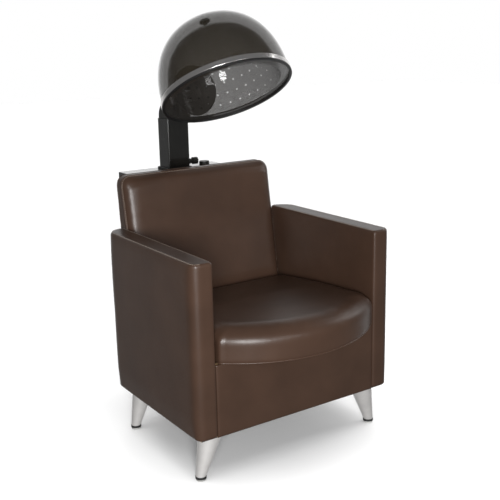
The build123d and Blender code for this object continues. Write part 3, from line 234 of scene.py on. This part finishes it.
def nonwoven(name, color):
    """Black spun cloth, thinly pressed, with a fine fibrous mottle."""
    mat, tree, links, shader = new_material(name, color, 0.9)
    vector = object_coordinates(tree, links)
    fibres = add_noise(tree, links, vector, 420.0, 5.0, 0.7)
    stops = [(0.35, shaded(color, 0.6)), (0.7, shaded(color, 2.0))]
    links.new(add_ramp(tree, links, fibres, stops), shader.inputs["Base Color"])
    add_bump(tree, links, shader, fibres, 0.5, 0.0005)
    shader.inputs["Sheen Weight"].default_value = 0.1
    return mat


VINYL_COLOR = (0.066, 0.036, 0.0235)
brown_vinyl = vinyl("brown_vinyl", VINYL_COLOR)
welt_vinyl = vinyl("welt_vinyl", shaded(VINYL_COLOR, 1.15))
brown_thread = thread("brown_thread", (0.42, 0.34, 0.28))
leg_aluminium = brushed_metal(
    "leg_aluminium", (0.86, 0.84, 0.82), 0.36, (1.0, 1.0, 14.0), scale=220.0, tarnish=0.9, metallic=0.45
)
zinc_steel = brushed_metal("zinc_steel", (0.55, 0.55, 0.54), 0.35, (6.0, 1.0, 1.0))
rim_silver = brushed_metal(
    "rim_silver", (0.80, 0.78, 0.77), 0.22, (1.0, 1.0, 1.0), scale=40.0, tarnish=0.95
)
motor_iron = brushed_metal("motor_iron", (0.25, 0.25, 0.26), 0.5, (1.0, 8.0, 1.0))
heater_wire = brushed_metal("heater_wire", (0.42, 0.36, 0.32), 0.5, (1.0, 1.0, 1.0))
black_enamel = enamel("black_enamel", (0.005, 0.0048, 0.004), 0.22)
black_plastic = moulded("black_plastic", (0.014, 0.013, 0.011), 0.34)
foot_rubber = moulded("foot_rubber", (0.02, 0.02, 0.02), 0.7)
foot_nylon = moulded("foot_nylon", (0.50, 0.50, 0.48), 0.5)
gasket_rubber = moulded("gasket_rubber", (0.010, 0.010, 0.010), 0.45)
smoke_outer = smoked("smoke_outer", (0.045, 0.036, 0.024), 0.40, 0.03)
smoke_inner = smoked("smoke_inner", (0.05, 0.045, 0.04), 0.40, 0.25)
bare_wood = plywood("bare_wood", (0.45, 0.29, 0.15))
dust_cloth = nonwoven("dust_cloth", (0.016, 0.016, 0.016))
filter_foam = nonwoven("filter_foam", (0.03, 0.03, 0.03))

SLOT_MATERIALS = {
    "vinyl": brown_vinyl, "wood": bare_wood, "dust_cloth": dust_cloth, "leg_metal": leg_aluminium,
    "zinc_steel": zinc_steel, "foot_rubber": foot_rubber, "foot_nylon": foot_nylon,
    "black_enamel": black_enamel, "black_plastic": black_plastic, "motor_iron": motor_iron,
    "heater_wire": heater_wire, "filter_foam": filter_foam, "smoke_outer": smoke_outer,
    "smoke_inner": smoke_inner, "silver_rim": rim_silver, "gasket_rubber": gasket_rubber,
}
for subpart in frame["record"]["subparts"]:
    cad_node = frame["nodes"][subpart["node"]]
    material = SLOT_MATERIALS[subpart["material_slot"]]
    if cad_node.material_slots:
        for material_slot in cad_node.material_slots:
            material_slot.material = material
    else:
        cad_node.data.materials.append(material)

# ======== Mesh helpers ========


def new_object(name, mesh, material, body):
    """A mesh object in the row frame that rides on a CAD body."""
    obj = bpy.data.objects.new(name, mesh)
    scene.collection.objects.link(obj)
    mesh.materials.clear()
    mesh.materials.append(material)
    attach(obj, body)
    return obj


def smooth_faces(mesh):
    """Smooth shading on every face."""
    for polygon in mesh.polygons:
        polygon.use_smooth = True


def mesh_of(shape, name):
    """Turns a bmesh with outward normals into mesh data, and frees it."""
    bmesh.ops.recalc_face_normals(shape, faces=shape.faces)
    mesh = bpy.data.meshes.new(name)
    shape.to_mesh(mesh)
    shape.free()
    return mesh


def join_rings(shape, rings):
    """Quads between each two neighbouring rings of vertices."""
    for near, far in zip(rings, rings[1:]):
        for k in range(len(near)):
            j = (k + 1) % len(near)
            shape.faces.new((near[k], near[j], far[j], far[k]))


def circle_offsets(across, normal, radius, sides):
    """Offsets from a thread's middle to the corners of its section."""
    offsets = []
    for k in range(sides):
        angle = 2 * pi * k / sides
        offsets.append(across * (radius * cos(angle)) + normal * (radius * sin(angle)))
    return offsets


def arc(center, radius, start, end, steps=8):
    """Points of an arc, from one angle to another, in degrees."""
    points = []
    for i in range(steps + 1):
        angle = radians(start + (end - start) * i / steps)
        points.append((center[0] + radius * cos(angle), center[1] + radius * sin(angle)))
    return points


def lofted(name, rings):
    """A closed mesh through rings of points, capped at both ends."""
    shape = bmesh.new()
    rows = [[shape.verts.new(point) for point in ring] for ring in rings]
    shape.faces.new(rows[0])
    shape.faces.new(reversed(rows[-1]))
    join_rings(shape, rows)
    bmesh.ops.triangulate(shape, faces=[face for face in shape.faces if len(face.verts) > 4])
    return mesh_of(shape, name)


def quarter(steps=6):
    """Angles of a quarter turn, from 0 to 90 degrees."""
    return [radians(90 * i / steps) for i in range(steps + 1)]


def bake(obj):
    """Applies the object's modifiers."""
    evaluated = obj.evaluated_get(bpy.context.evaluated_depsgraph_get())
    mesh = bpy.data.meshes.new_from_object(evaluated)
    obj.modifiers.clear()
    old = obj.data
    obj.data = mesh
    bpy.data.meshes.remove(old)


def voxel_remesh(obj):
    """An even mesh of the same form, ready for the cloth simulation."""
    form = surface_of(obj)
    remesh = obj.modifiers.new("remesh", "REMESH")
    remesh.mode = "VOXEL"
    remesh.voxel_size = 0.006
    remesh.use_smooth_shade = True
    smooth = obj.modifiers.new("smooth", "SMOOTH")
    smooth.iterations = 4
    smooth.factor = 0.5
    bake(obj)
    for vertex in obj.data.vertices:
        vertex.co = form.find_nearest(vertex.co)[0]


def smoothed(values, first, second, rounds):
    """Values at vertices, averaged several times with those at the other ends of their edges."""
    count = np.bincount(first, minlength=len(values)) + np.bincount(second, minlength=len(values))
    for _ in range(rounds):
        total = np.bincount(first, weights=values[second], minlength=len(values))
        total += np.bincount(second, weights=values[first], minlength=len(values))
        values = 0.5 * values + 0.5 * total / np.maximum(count, 1)
    return values


def inflate(obj, pressure, cap, keep, rounds=14, keep_rounds=6, frames=20):
    """Cloth under pressure: the skin swells along its normals by up to cap.

    keep(point), from 0 to 1, scales the swelling.
    """
    mesh = obj.data
    start = [v.co.copy() for v in mesh.vertices]
    normals = [v.normal.copy() for v in mesh.vertices]
    cloth = obj.modifiers.new("cloth", "CLOTH")
    settings = cloth.settings
    settings.quality = 3
    settings.mass = 0.3
    settings.tension_stiffness = 12.0
    settings.compression_stiffness = 12.0
    settings.shear_stiffness = 4.0
    settings.bending_stiffness = 0.8
    settings.use_pressure = True
    settings.uniform_pressure_force = pressure
    settings.effector_weights.gravity = 0.0
    cloth.collision_settings.use_collision = False
    cloth.point_cache.frame_start = 1
    cloth.point_cache.frame_end = frames
    for step in range(1, frames + 1):
        scene.frame_set(step)
    evaluated = obj.evaluated_get(bpy.context.evaluated_depsgraph_get())
    end = [v.co.copy() for v in evaluated.data.vertices]
    obj.modifiers.clear()
    scene.frame_set(1)
    moves = [(b - a).dot(normal) for a, b, normal in zip(start, end, normals)]
    swell = np.clip(np.array(moves), 0.0, cap)
    edges = np.array([edge.vertices[:] for edge in mesh.edges])
    swell = smoothed(swell, edges[:, 0], edges[:, 1], rounds)
    share = np.array([keep(a) for a in start])
    share = smoothed(share, edges[:, 0], edges[:, 1], keep_rounds)
    for vertex, a, normal, rise in zip(mesh.vertices, start, normals, swell * share):
        vertex.co = a + normal * float(rise)
    smooth_faces(mesh)


def subdivide(obj):
    """One level of subdivision, applied."""
    modifier = obj.modifiers.new("subdivision", "SUBSURF")
    modifier.levels = 1
    modifier.render_levels = 1
    bake(obj)
    smooth_faces(obj.data)


def surface_of(obj):
    """A search tree of the object's skin."""
    shape = bmesh.new()
    shape.from_mesh(obj.data)
    tree = BVHTree.FromBMesh(shape)
    shape.free()
    return tree


def laid_on(tree, points, lift):
    """Points moved to the nearest skin, and lifted off it. Returns (point, normal) pairs."""
    laid = []
    for point in points:
        location, normal, _, _ = tree.find_nearest(Vector(point))
        laid.append((location + normal * lift, normal))
    return laid


def resample(points, spacing):
    """Points evenly spaced along a path."""
    points = [Vector(p) for p in points]
    result = [points[0]]
    left = spacing
    for a, b in zip(points, points[1:]):
        length = (b - a).length
        along = left
        while along <= length:
            result.append(a.lerp(b, along / length))
            along += spacing
        left = along - length
    return result


def tube(name, path, radius, material, body, sides=8):
    """A thin welt or cord of thread along (point, normal) pairs."""
    shape = bmesh.new()
    rings = []
    for i, (point, normal) in enumerate(path):
        ahead = path[min(i + 1, len(path) - 1)][0] - path[max(i - 1, 0)][0]
        across = ahead.normalized().cross(normal).normalized()
        section = circle_offsets(across, normal, radius, sides)
        rings.append([shape.verts.new(point + offset) for offset in section])
    join_rings(shape, rings)
    shape.faces.new(reversed(rings[0]))
    shape.faces.new(rings[-1])
    mesh = mesh_of(shape, name)
    smooth_faces(mesh)
    new_object(name, mesh, material, body)


def stitches(name, tree, path, body, pitch=0.0055, length=0.0038, radius=0.0007):
    """A row of short stitches on a skin, along a path. Each dips into the skin at both ends."""
    sunk, proud = -0.0004, 0.0002
    stations = ((0.0, sunk, 0.5), (0.2, proud, 1.0), (0.8, proud, 1.0), (1.0, sunk, 0.5))
    shape = bmesh.new()
    laid = laid_on(tree, resample(path, pitch), 0.0001)
    for (a, normal), (b, _) in zip(laid, laid[1:]):
        way = (b - a).normalized()
        across = way.cross(normal).normalized()
        rings = []
        for share, lift, size in stations:
            center = a + way * (length * share) + normal * lift
            section = circle_offsets(across, normal, radius * size, 6)
            rings.append([shape.verts.new(center + offset) for offset in section])
        join_rings(shape, rings)
    mesh = mesh_of(shape, name)
    smooth_faces(mesh)
    new_object(name, mesh, brown_thread, body)


# ======== Upholstery ========
# Sizes as in the CAD model, in metres.

ARM_IN = 0.269
ARM_OUT = 0.330
ARM_FRONT = -0.306
ARM_REAR = 0.207
ARM_BASE = 0.132
ARM_TOP = 0.614
ARM_REAR_RADIUS = 0.054
ARM_FRONT_RADIUS = 0.024
ARM_INNER_RADIUS = 0.007
ARM_TOP_RADIUS = 0.006
ARM_BASE_RADIUS = 0.002
ARM_INNER_STEPS = 4
ARM_SEAM_INSET = 0.0045
SEAT_HALF = 0.2685
SEAT_FRONT = -0.418
SEAT_CORNER_Y = -0.306
SEAT_REAR = 0.133
SEAT_BASE = 0.347
SEAT_FRONT_TOP = 0.431
SEAT_REAR_TOP = 0.395
SEAT_SLOPE_END = -0.228
SEAT_MARGIN = 0.006
SEAT_DROP = 0.011
SEAT_CORNER_RADIUS = 0.013
SEAT_ROLL = 0.034
SEAT_SIDE_RADIUS = 0.014
SEAT_BASE_RADIUS = 0.012
SEAT_BASE_SIDE_RADIUS = 0.004
BACK_HALF = 0.2655
BACK_BASE = 0.338
BACK_TOP = 0.766
BACK_MARGIN = 0.002
BACK_CORNER_RADIUS = 0.032
BACK_FRONT_RADIUS = 0.022
BACK_REAR_RADIUS = 0.006
BACK_SEAM_DEPTH = 0.019
EDGE_GAP = 0.0006
WELT_SPACING = 0.006


def back_front(z):
    """Front face of the backrest at height z."""
    return 0.144 + (z - 0.398) * 0.055 / 0.353


def back_rear(z):
    """Rear face of the backrest at height z."""
    return 0.241 + (z - 0.611) * 0.010 / 0.118


def arm_plan(inset):
    """Plan of an arm, (x, y) for the +X side, from the inner front corner to the inner rear one."""
    small, middle, large = ARM_INNER_RADIUS, ARM_FRONT_RADIUS, ARM_REAR_RADIUS
    points = arc((ARM_IN + small, ARM_FRONT + small), small - inset, 180, 270, ARM_INNER_STEPS)
    points += arc((ARM_OUT - middle, ARM_FRONT + middle), middle - inset, -90, 0)
    points += arc((ARM_OUT - large, ARM_REAR - large), large - inset, 0, 90, 12)
    points += [(ARM_IN + inset, ARM_REAR - inset)]
    return points


def make_arm(side, name, node):
    """One upholstered arm: padded, softly crowned, and stitched along its top edges."""
    low, high = ARM_BASE + EDGE_GAP, ARM_TOP - EDGE_GAP
    rings = []
    for angle in quarter(3):
        plan = arm_plan(EDGE_GAP + ARM_BASE_RADIUS * (1 - sin(angle)))
        rings.append([(side * x, y, low + ARM_BASE_RADIUS * (1 - cos(angle))) for x, y in plan])
    for angle in quarter(4):
        plan = arm_plan(EDGE_GAP + ARM_TOP_RADIUS * (1 - cos(angle)))
        rings.append([(side * x, y, high - ARM_TOP_RADIUS * (1 - sin(angle))) for x, y in plan])
    obj = new_object(name, lofted(name, rings), brown_vinyl, "chair")
    voxel_remesh(obj)

    def keep(point):
        """Full on the outside, hardly any towards the seat, none along the bottom."""
        up = min(max((point.z - ARM_BASE - 0.004) / 0.05, 0.0), 1.0)
        inside = abs(point.x) < ARM_IN + 0.012
        return (0.15 if inside else 1.0) * up

    inflate(obj, pressure=3.0, cap=0.0035, keep=keep)
    subdivide(obj)
    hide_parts(node)
    tree = surface_of(obj)
    seam_z = ARM_TOP - 0.001
    inner_x = side * (ARM_IN + ARM_SEAM_INSET)
    outer = [(side * x, y, seam_z) for x, y in arm_plan(ARM_SEAM_INSET)[ARM_INNER_STEPS + 1:-1]]
    inner = [(inner_x, y, seam_z) for y in (ARM_FRONT + 0.012, ARM_REAR - 0.004)]
    stitches(name + "_outer_stitches", tree, outer, "chair")
    stitches(name + "_inner_stitches", tree, inner, "chair")


make_arm(-1, "left_arm_upholstery", "arm_cover_left")
make_arm(1, "right_arm_upholstery", "arm_cover_right")


def seat_top(y):
    """Height of the seat's top face at y, before its crown."""
    if y < SEAT_SLOPE_END:
        return SEAT_FRONT_TOP
    share = (y - SEAT_SLOPE_END) / (SEAT_REAR - SEAT_SLOPE_END)
    return SEAT_FRONT_TOP + (SEAT_REAR_TOP - SEAT_FRONT_TOP) * share


def seat_outline(inset, steps=40):
    """Plan of the seat, (x, y), from the rear right corner to the rear left one, round the bowed front."""
    half = SEAT_HALF - inset
    bow = SEAT_CORNER_Y - SEAT_FRONT
    radius = (SEAT_HALF ** 2 + bow ** 2) / (2 * bow)
    center_y = SEAT_FRONT + radius
    reach = radius - inset
    corner = SEAT_CORNER_RADIUS
    last_angle = asin((half - corner) / reach)
    front = []
    for i in range(steps + 1):
        angle = last_angle - 2 * last_angle * i / steps
        front.append((reach * sin(angle), center_y - reach * cos(angle)))
    right_y = front[0][1]
    blend = []
    for angle in quarter():
        x = half - corner + corner * cos(angle)
        blend.append((x, right_y + 0.8 * corner * (1 - sin(angle)) + 0.002))
    right = [(half, SEAT_REAR - inset), (half, -0.1), (half, blend[0][1] + 0.02)] + blend[:-1]
    left = [(-x, y) for x, y in reversed(right)]
    return right + front + left


def seat_ring(outer, inner, angle, edges, high):
    """One ring of the seat's lower or upper rounding; edges are its radii at the front and at the sides."""
    front_radius, side_radius = edges
    points = []
    for (x0, y0), (x1, y1) in zip(outer, inner):
        ahead = min(max((SEAT_CORNER_Y + 0.04 - y0) / 0.04, 0.0), 1.0)
        radius = side_radius + (front_radius - side_radius) * ahead
        share = radius * (1 - cos(angle)) / SEAT_ROLL
        drop = radius * (1 - sin(angle))
        z = seat_top(y0 + (y1 - y0) * share) - SEAT_MARGIN - drop if high else SEAT_BASE - SEAT_DROP + drop
        points.append((x0 + (x1 - x0) * share, y0 + (y1 - y0) * share, z))
    return points


def make_seat():
    """Seat cushion: thick, with a full front roll and a soft crown, welted round its lower edge."""
    outer = seat_outline(SEAT_MARGIN)
    inner = seat_outline(SEAT_MARGIN + SEAT_ROLL)
    low_edges = (SEAT_BASE_RADIUS, SEAT_BASE_SIDE_RADIUS)
    high_edges = (SEAT_ROLL, SEAT_SIDE_RADIUS)
    rings = [seat_ring(outer, inner, angle, low_edges, False) for angle in reversed(quarter())]
    rings += [seat_ring(outer, inner, angle, high_edges, True) for angle in quarter(8)]
    mesh = lofted("seat_upholstery", rings)
    obj = new_object("seat_upholstery", mesh, brown_vinyl, "chair")
    voxel_remesh(obj)

    def keep(point):
        """Full on top and in front, little at the sides and the back, none underneath."""
        if point.z < SEAT_BASE - 0.006:
            return 0.0
        side = 0.25 if abs(point.x) > SEAT_HALF - 0.014 and point.y > SEAT_CORNER_Y else 1.0
        rear = 0.1 if point.y > SEAT_REAR - 0.02 else 1.0
        return side * rear

    inflate(obj, pressure=4.0, cap=0.012, keep=keep)
    subdivide(obj)
    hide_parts("seat_cushion", "seat_board")
    tree = surface_of(obj)
    welt = [(x, y, SEAT_BASE - 0.009) for x, y in seat_outline(0.004) if y < SEAT_CORNER_Y + 0.05]
    laid = laid_on(tree, resample(welt, WELT_SPACING), 0.0004)
    tube("seat_welt", laid, 0.0022, welt_vinyl, "chair")


make_seat()


def back_outline(inset):
    """Front view of the backrest, (x, z), from the lower right corner: rounded upper corners."""
    half = BACK_HALF - inset
    top = BACK_TOP - inset
    radius = BACK_CORNER_RADIUS - inset
    points = [(half, BACK_BASE + inset)]
    points += [(half, BACK_BASE + 0.1 * i) for i in range(1, 4)]
    points += arc((half - radius, top - radius), radius, 0, 90)
    points += arc((-half + radius, top - radius), radius, 90, 180)
    points += [(-half, BACK_BASE + 0.1 * i) for i in range(3, 0, -1)]
    points += [(-half, BACK_BASE + inset)]
    return points


def make_back():
    """Backrest: boxed cushion with a rounded front edge and a crown, welted and stitched at its seams."""
    rings = []
    for angle in quarter(8):
        plan = back_outline(BACK_MARGIN + BACK_FRONT_RADIUS * (1 - sin(angle)))
        drop = BACK_MARGIN + BACK_FRONT_RADIUS * (1 - cos(angle))
        rings.append([(x, back_front(z) + drop, z) for x, z in plan])
    for angle in quarter(4):
        plan = back_outline(BACK_MARGIN + BACK_REAR_RADIUS * (1 - cos(angle)))
        drop = BACK_MARGIN + BACK_REAR_RADIUS * (1 - sin(angle))
        rings.append([(x, back_rear(z) - drop, z) for x, z in plan])
    mesh = lofted("back_upholstery", rings)
    obj = new_object("back_upholstery", mesh, brown_vinyl, "chair")
    voxel_remesh(obj)

    def keep(point):
        """Full on the front, less at the sides and the rear, none along the bottom."""
        up = min(max((point.z - BACK_BASE) / 0.08, 0.0), 1.0)
        side = 0.3 if abs(point.x) > BACK_HALF - 0.008 else 1.0
        rear = 0.25 if point.y > (back_front(point.z) + back_rear(point.z)) / 2 else 1.0
        return up * side * rear

    inflate(obj, pressure=4.0, cap=0.010, keep=keep)
    subdivide(obj)
    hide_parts("back_cushion")
    tree = surface_of(obj)
    path = [(x, back_front(z) + BACK_SEAM_DEPTH, z) for x, z in back_outline(0.0)]
    laid = laid_on(tree, resample(path, WELT_SPACING), 0.0002)
    tube("back_welt", laid, 0.0013, welt_vinyl, "chair")
    row = [(x, back_front(z) + BACK_SEAM_DEPTH - 0.005, z) for x, z in back_outline(0.0)]
    stitches("back_stitches", tree, row, "chair")
    rear_path = [(x, back_rear(z) - 0.007, z) for x, z in back_outline(0.0)]
    rear_laid = laid_on(tree, resample(rear_path, WELT_SPACING), 0.0002)
    tube("back_rear_welt", rear_laid, 0.0013, welt_vinyl, "chair")


make_back()


PANEL_COLUMNS = 96
PANEL_ROWS = 40
PANEL_RIM = 0.004
PANEL_CROWN = 0.0022
PANEL_PULL = 0.0003
PANEL_BASE = 0.1312


def spaced(low, high, count):
    """Positions from low to high, with closer ones in the rims at both ends."""
    rim = PANEL_RIM
    inner = [low + rim + (high - low - 2 * rim) * i / (count - 1) for i in range(count)]
    return [low, low + rim * 0.12, low + rim * 0.4] + inner + [high - rim * 0.4, high - rim * 0.12, high]


def panel_depth(x, z, half, top):
    """How far a panel's face stands out at (x, z): crown, drawn-in rim, and small pulls near the edge."""
    rim = PANEL_RIM
    side = min(half - abs(x), 1.0)
    edge = min(side, z - PANEL_BASE, top - z)
    fall = rim - min(edge, rim)
    drop = rim - sqrt(max(rim ** 2 - fall ** 2, 0.0))
    height_share = (2 * z - PANEL_BASE - top) / (top - PANEL_BASE)
    crown = PANEL_CROWN * (1 - (x / half) ** 4) * (1 - height_share ** 4)
    pull = PANEL_PULL * noise.noise(Vector((x * 40.0, 3.0, z * 26.0))) * max(1 - edge / 0.06, 0.0)
    return crown + pull * min(edge / rim, 1.0) - drop


def make_panel(name, node, face, thickness, top, half, way):
    """A flat upholstered panel between the arms; way is -1 if its outer face looks to the front."""
    low_face, high_face = face

    def face_y(z):
        return low_face + (high_face - low_face) * (z - PANEL_BASE) / (top - PANEL_BASE)

    shape = bmesh.new()
    across = spaced(-half, half, PANEL_COLUMNS)
    grid = []
    for z in spaced(PANEL_BASE, top, PANEL_ROWS):
        line = [(x, face_y(z) + way * panel_depth(x, z, half, top), z) for x in across]
        grid.append([shape.verts.new(point) for point in line])
    for low_line, high_line in zip(grid, grid[1:]):
        for i in range(len(across) - 1):
            shape.faces.new((low_line[i], low_line[i + 1], high_line[i + 1], high_line[i]))
    border = [edge for edge in shape.edges if edge.is_boundary]
    skirt = bmesh.ops.extrude_edge_only(shape, edges=border)["geom"]
    for vertex in (part for part in skirt if isinstance(part, bmesh.types.BMVert)):
        vertex.co.y = face_y(vertex.co.z) - way * (thickness - EDGE_GAP)
    bmesh.ops.contextual_create(shape, geom=[edge for edge in shape.edges if edge.is_boundary])
    mesh = mesh_of(shape, name)
    smooth_faces(mesh)
    obj = new_object(name, mesh, brown_vinyl, "chair")
    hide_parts(node)


make_panel("front_panel", "front_cover", (-0.302, -0.302), 0.006, 0.3355, 0.2686, -1)
make_panel("rear_panel", "rear_cover", (0.207, 0.218), 0.010, 0.338, 0.2683, 1)


# ======== Floor, lights and camera ========

CAMERA_PLACE = (-1.3242, -2.0535, 1.1576)
CAMERA_YAW = 33.7155
CAMERA_PITCH = 14.1712
CAMERA_ROLL = -1.298
CAMERA_LENS = 60.9


def make_floor():
    """A pale matt floor."""
    shape = bmesh.new()
    half = 14.0
    corners = ((-half, -half), (half, -half), (half, half), (-half, half))
    shape.faces.new([shape.verts.new((x, y, 0.0)) for x, y in corners])
    mesh = bpy.data.meshes.new("floor")
    shape.to_mesh(mesh)
    shape.free()
    mat, tree, links, shader = new_material("floor_paint", (0.9, 0.9, 0.9), 0.8)
    fine = add_noise(tree, links, object_coordinates(tree, links), 3.0, 2.0)
    stops = [(0.3, (0.885, 0.885, 0.885)), (0.7, (0.915, 0.915, 0.915))]
    links.new(add_ramp(tree, links, fine, stops), shader.inputs["Base Color"])
    mesh.materials.append(mat)
    floor = bpy.data.objects.new("floor", mesh)
    scene.collection.objects.link(floor)
    floor.visible_glossy = False
    floor.visible_diffuse = False


def make_floor_light():
    """An even overhead light that falls on the floor only."""
    light = bpy.data.lights.new("floor_light", "SUN")
    light.energy = 3.0
    light.angle = radians(70)
    obj = bpy.data.objects.new("floor_light", light)
    obj.location = (0.0, 0.0, 5.0)
    scene.collection.objects.link(obj)
    lit = bpy.data.collections.new("floor_only")
    lit.objects.link(bpy.data.objects["floor"])
    obj.light_linking.receiver_collection = lit


def make_light(name, place, aim, size, power, height=None):
    """A soft area light at a place, turned to a point: a disc, or a rectangle if it has a height."""
    light = bpy.data.lights.new(name, "AREA")
    light.shape = "RECTANGLE" if height else "DISK"
    light.size = size
    if height:
        light.size_y = height
    light.energy = power
    obj = bpy.data.objects.new(name, light)
    obj.location = place
    obj.rotation_euler = (Vector(aim) - Vector(place)).to_track_quat("-Z", "Y").to_euler()
    scene.collection.objects.link(obj)


def make_camera():
    """The camera at the object's three-quarter view."""
    yaw, pitch, roll = radians(CAMERA_YAW), radians(CAMERA_PITCH), radians(CAMERA_ROLL)
    ahead = Vector((sin(yaw) * cos(pitch), cos(yaw) * cos(pitch), -sin(pitch)))
    across = Vector((cos(yaw), -sin(yaw), 0.0))
    above = across.cross(ahead)
    turned = across * cos(roll) + above * sin(roll)
    raised = above * cos(roll) - across * sin(roll)
    data = bpy.data.cameras.new("camera")
    data.lens = CAMERA_LENS
    data.sensor_width = 36.0
    data.clip_end = 100.0
    camera = bpy.data.objects.new("camera", data)
    scene.collection.objects.link(camera)
    matrix = Matrix((turned, raised, -ahead)).transposed().to_4x4()
    matrix.translation = Vector(CAMERA_PLACE)
    camera.matrix_world = matrix
    scene.camera = camera


def make_world():
    """A white studio: full white as a backdrop, softer as a light, brightest behind the object."""
    front_strength = 0.15
    world = bpy.data.worlds.new("studio")
    world.use_nodes = True
    tree = world.node_tree
    softer = tree.nodes["Background"]
    softer.inputs["Color"].default_value = (1.0, 1.0, 1.0, 1.0)
    place = tree.nodes.new("ShaderNodeTexCoord")
    behind = tree.nodes.new("ShaderNodeVectorMath")
    behind.operation = "DOT_PRODUCT"
    behind.inputs[1].default_value = (0.555, 0.832, 0.0)
    strength = tree.nodes.new("ShaderNodeMapRange")
    strength.inputs["From Min"].default_value = 0.5
    strength.inputs["From Max"].default_value = 0.9
    strength.inputs["To Min"].default_value = front_strength
    strength.inputs["To Max"].default_value = 1.0
    tree.links.new(place.outputs["Generated"], behind.inputs[0])
    tree.links.new(behind.outputs["Value"], strength.inputs["Value"])
    tree.links.new(strength.outputs["Result"], softer.inputs["Strength"])
    backdrop = tree.nodes.new("ShaderNodeBackground")
    backdrop.inputs["Color"].default_value = (1.0, 1.0, 1.0, 1.0)
    backdrop.inputs["Strength"].default_value = 1.0
    path = tree.nodes.new("ShaderNodeLightPath")
    mix = tree.nodes.new("ShaderNodeMixShader")
    tree.links.new(path.outputs["Is Camera Ray"], mix.inputs["Fac"])
    tree.links.new(softer.outputs["Background"], mix.inputs[1])
    tree.links.new(backdrop.outputs["Background"], mix.inputs[2])
    tree.links.new(mix.outputs["Shader"], tree.nodes["World Output"].inputs["Surface"])
    scene.world = world
    scene.view_settings.view_transform = "Standard"
    scene.cycles.transparent_max_bounces = 32


make_world()
make_floor()
make_floor_light()
make_light("key", (-1.45, -2.3, 0.95), (0.0, -0.2, 0.4), 0.8, 70.0)
make_light("second", (0.0, -3.0, 1.5), (0.0, 0.0, 0.5), 0.6, 9.0)
make_light("side", (2.3, -0.6, 1.7), (0.0, 0.0, 0.8), 0.4, 8.0, height=1.3)
make_camera()
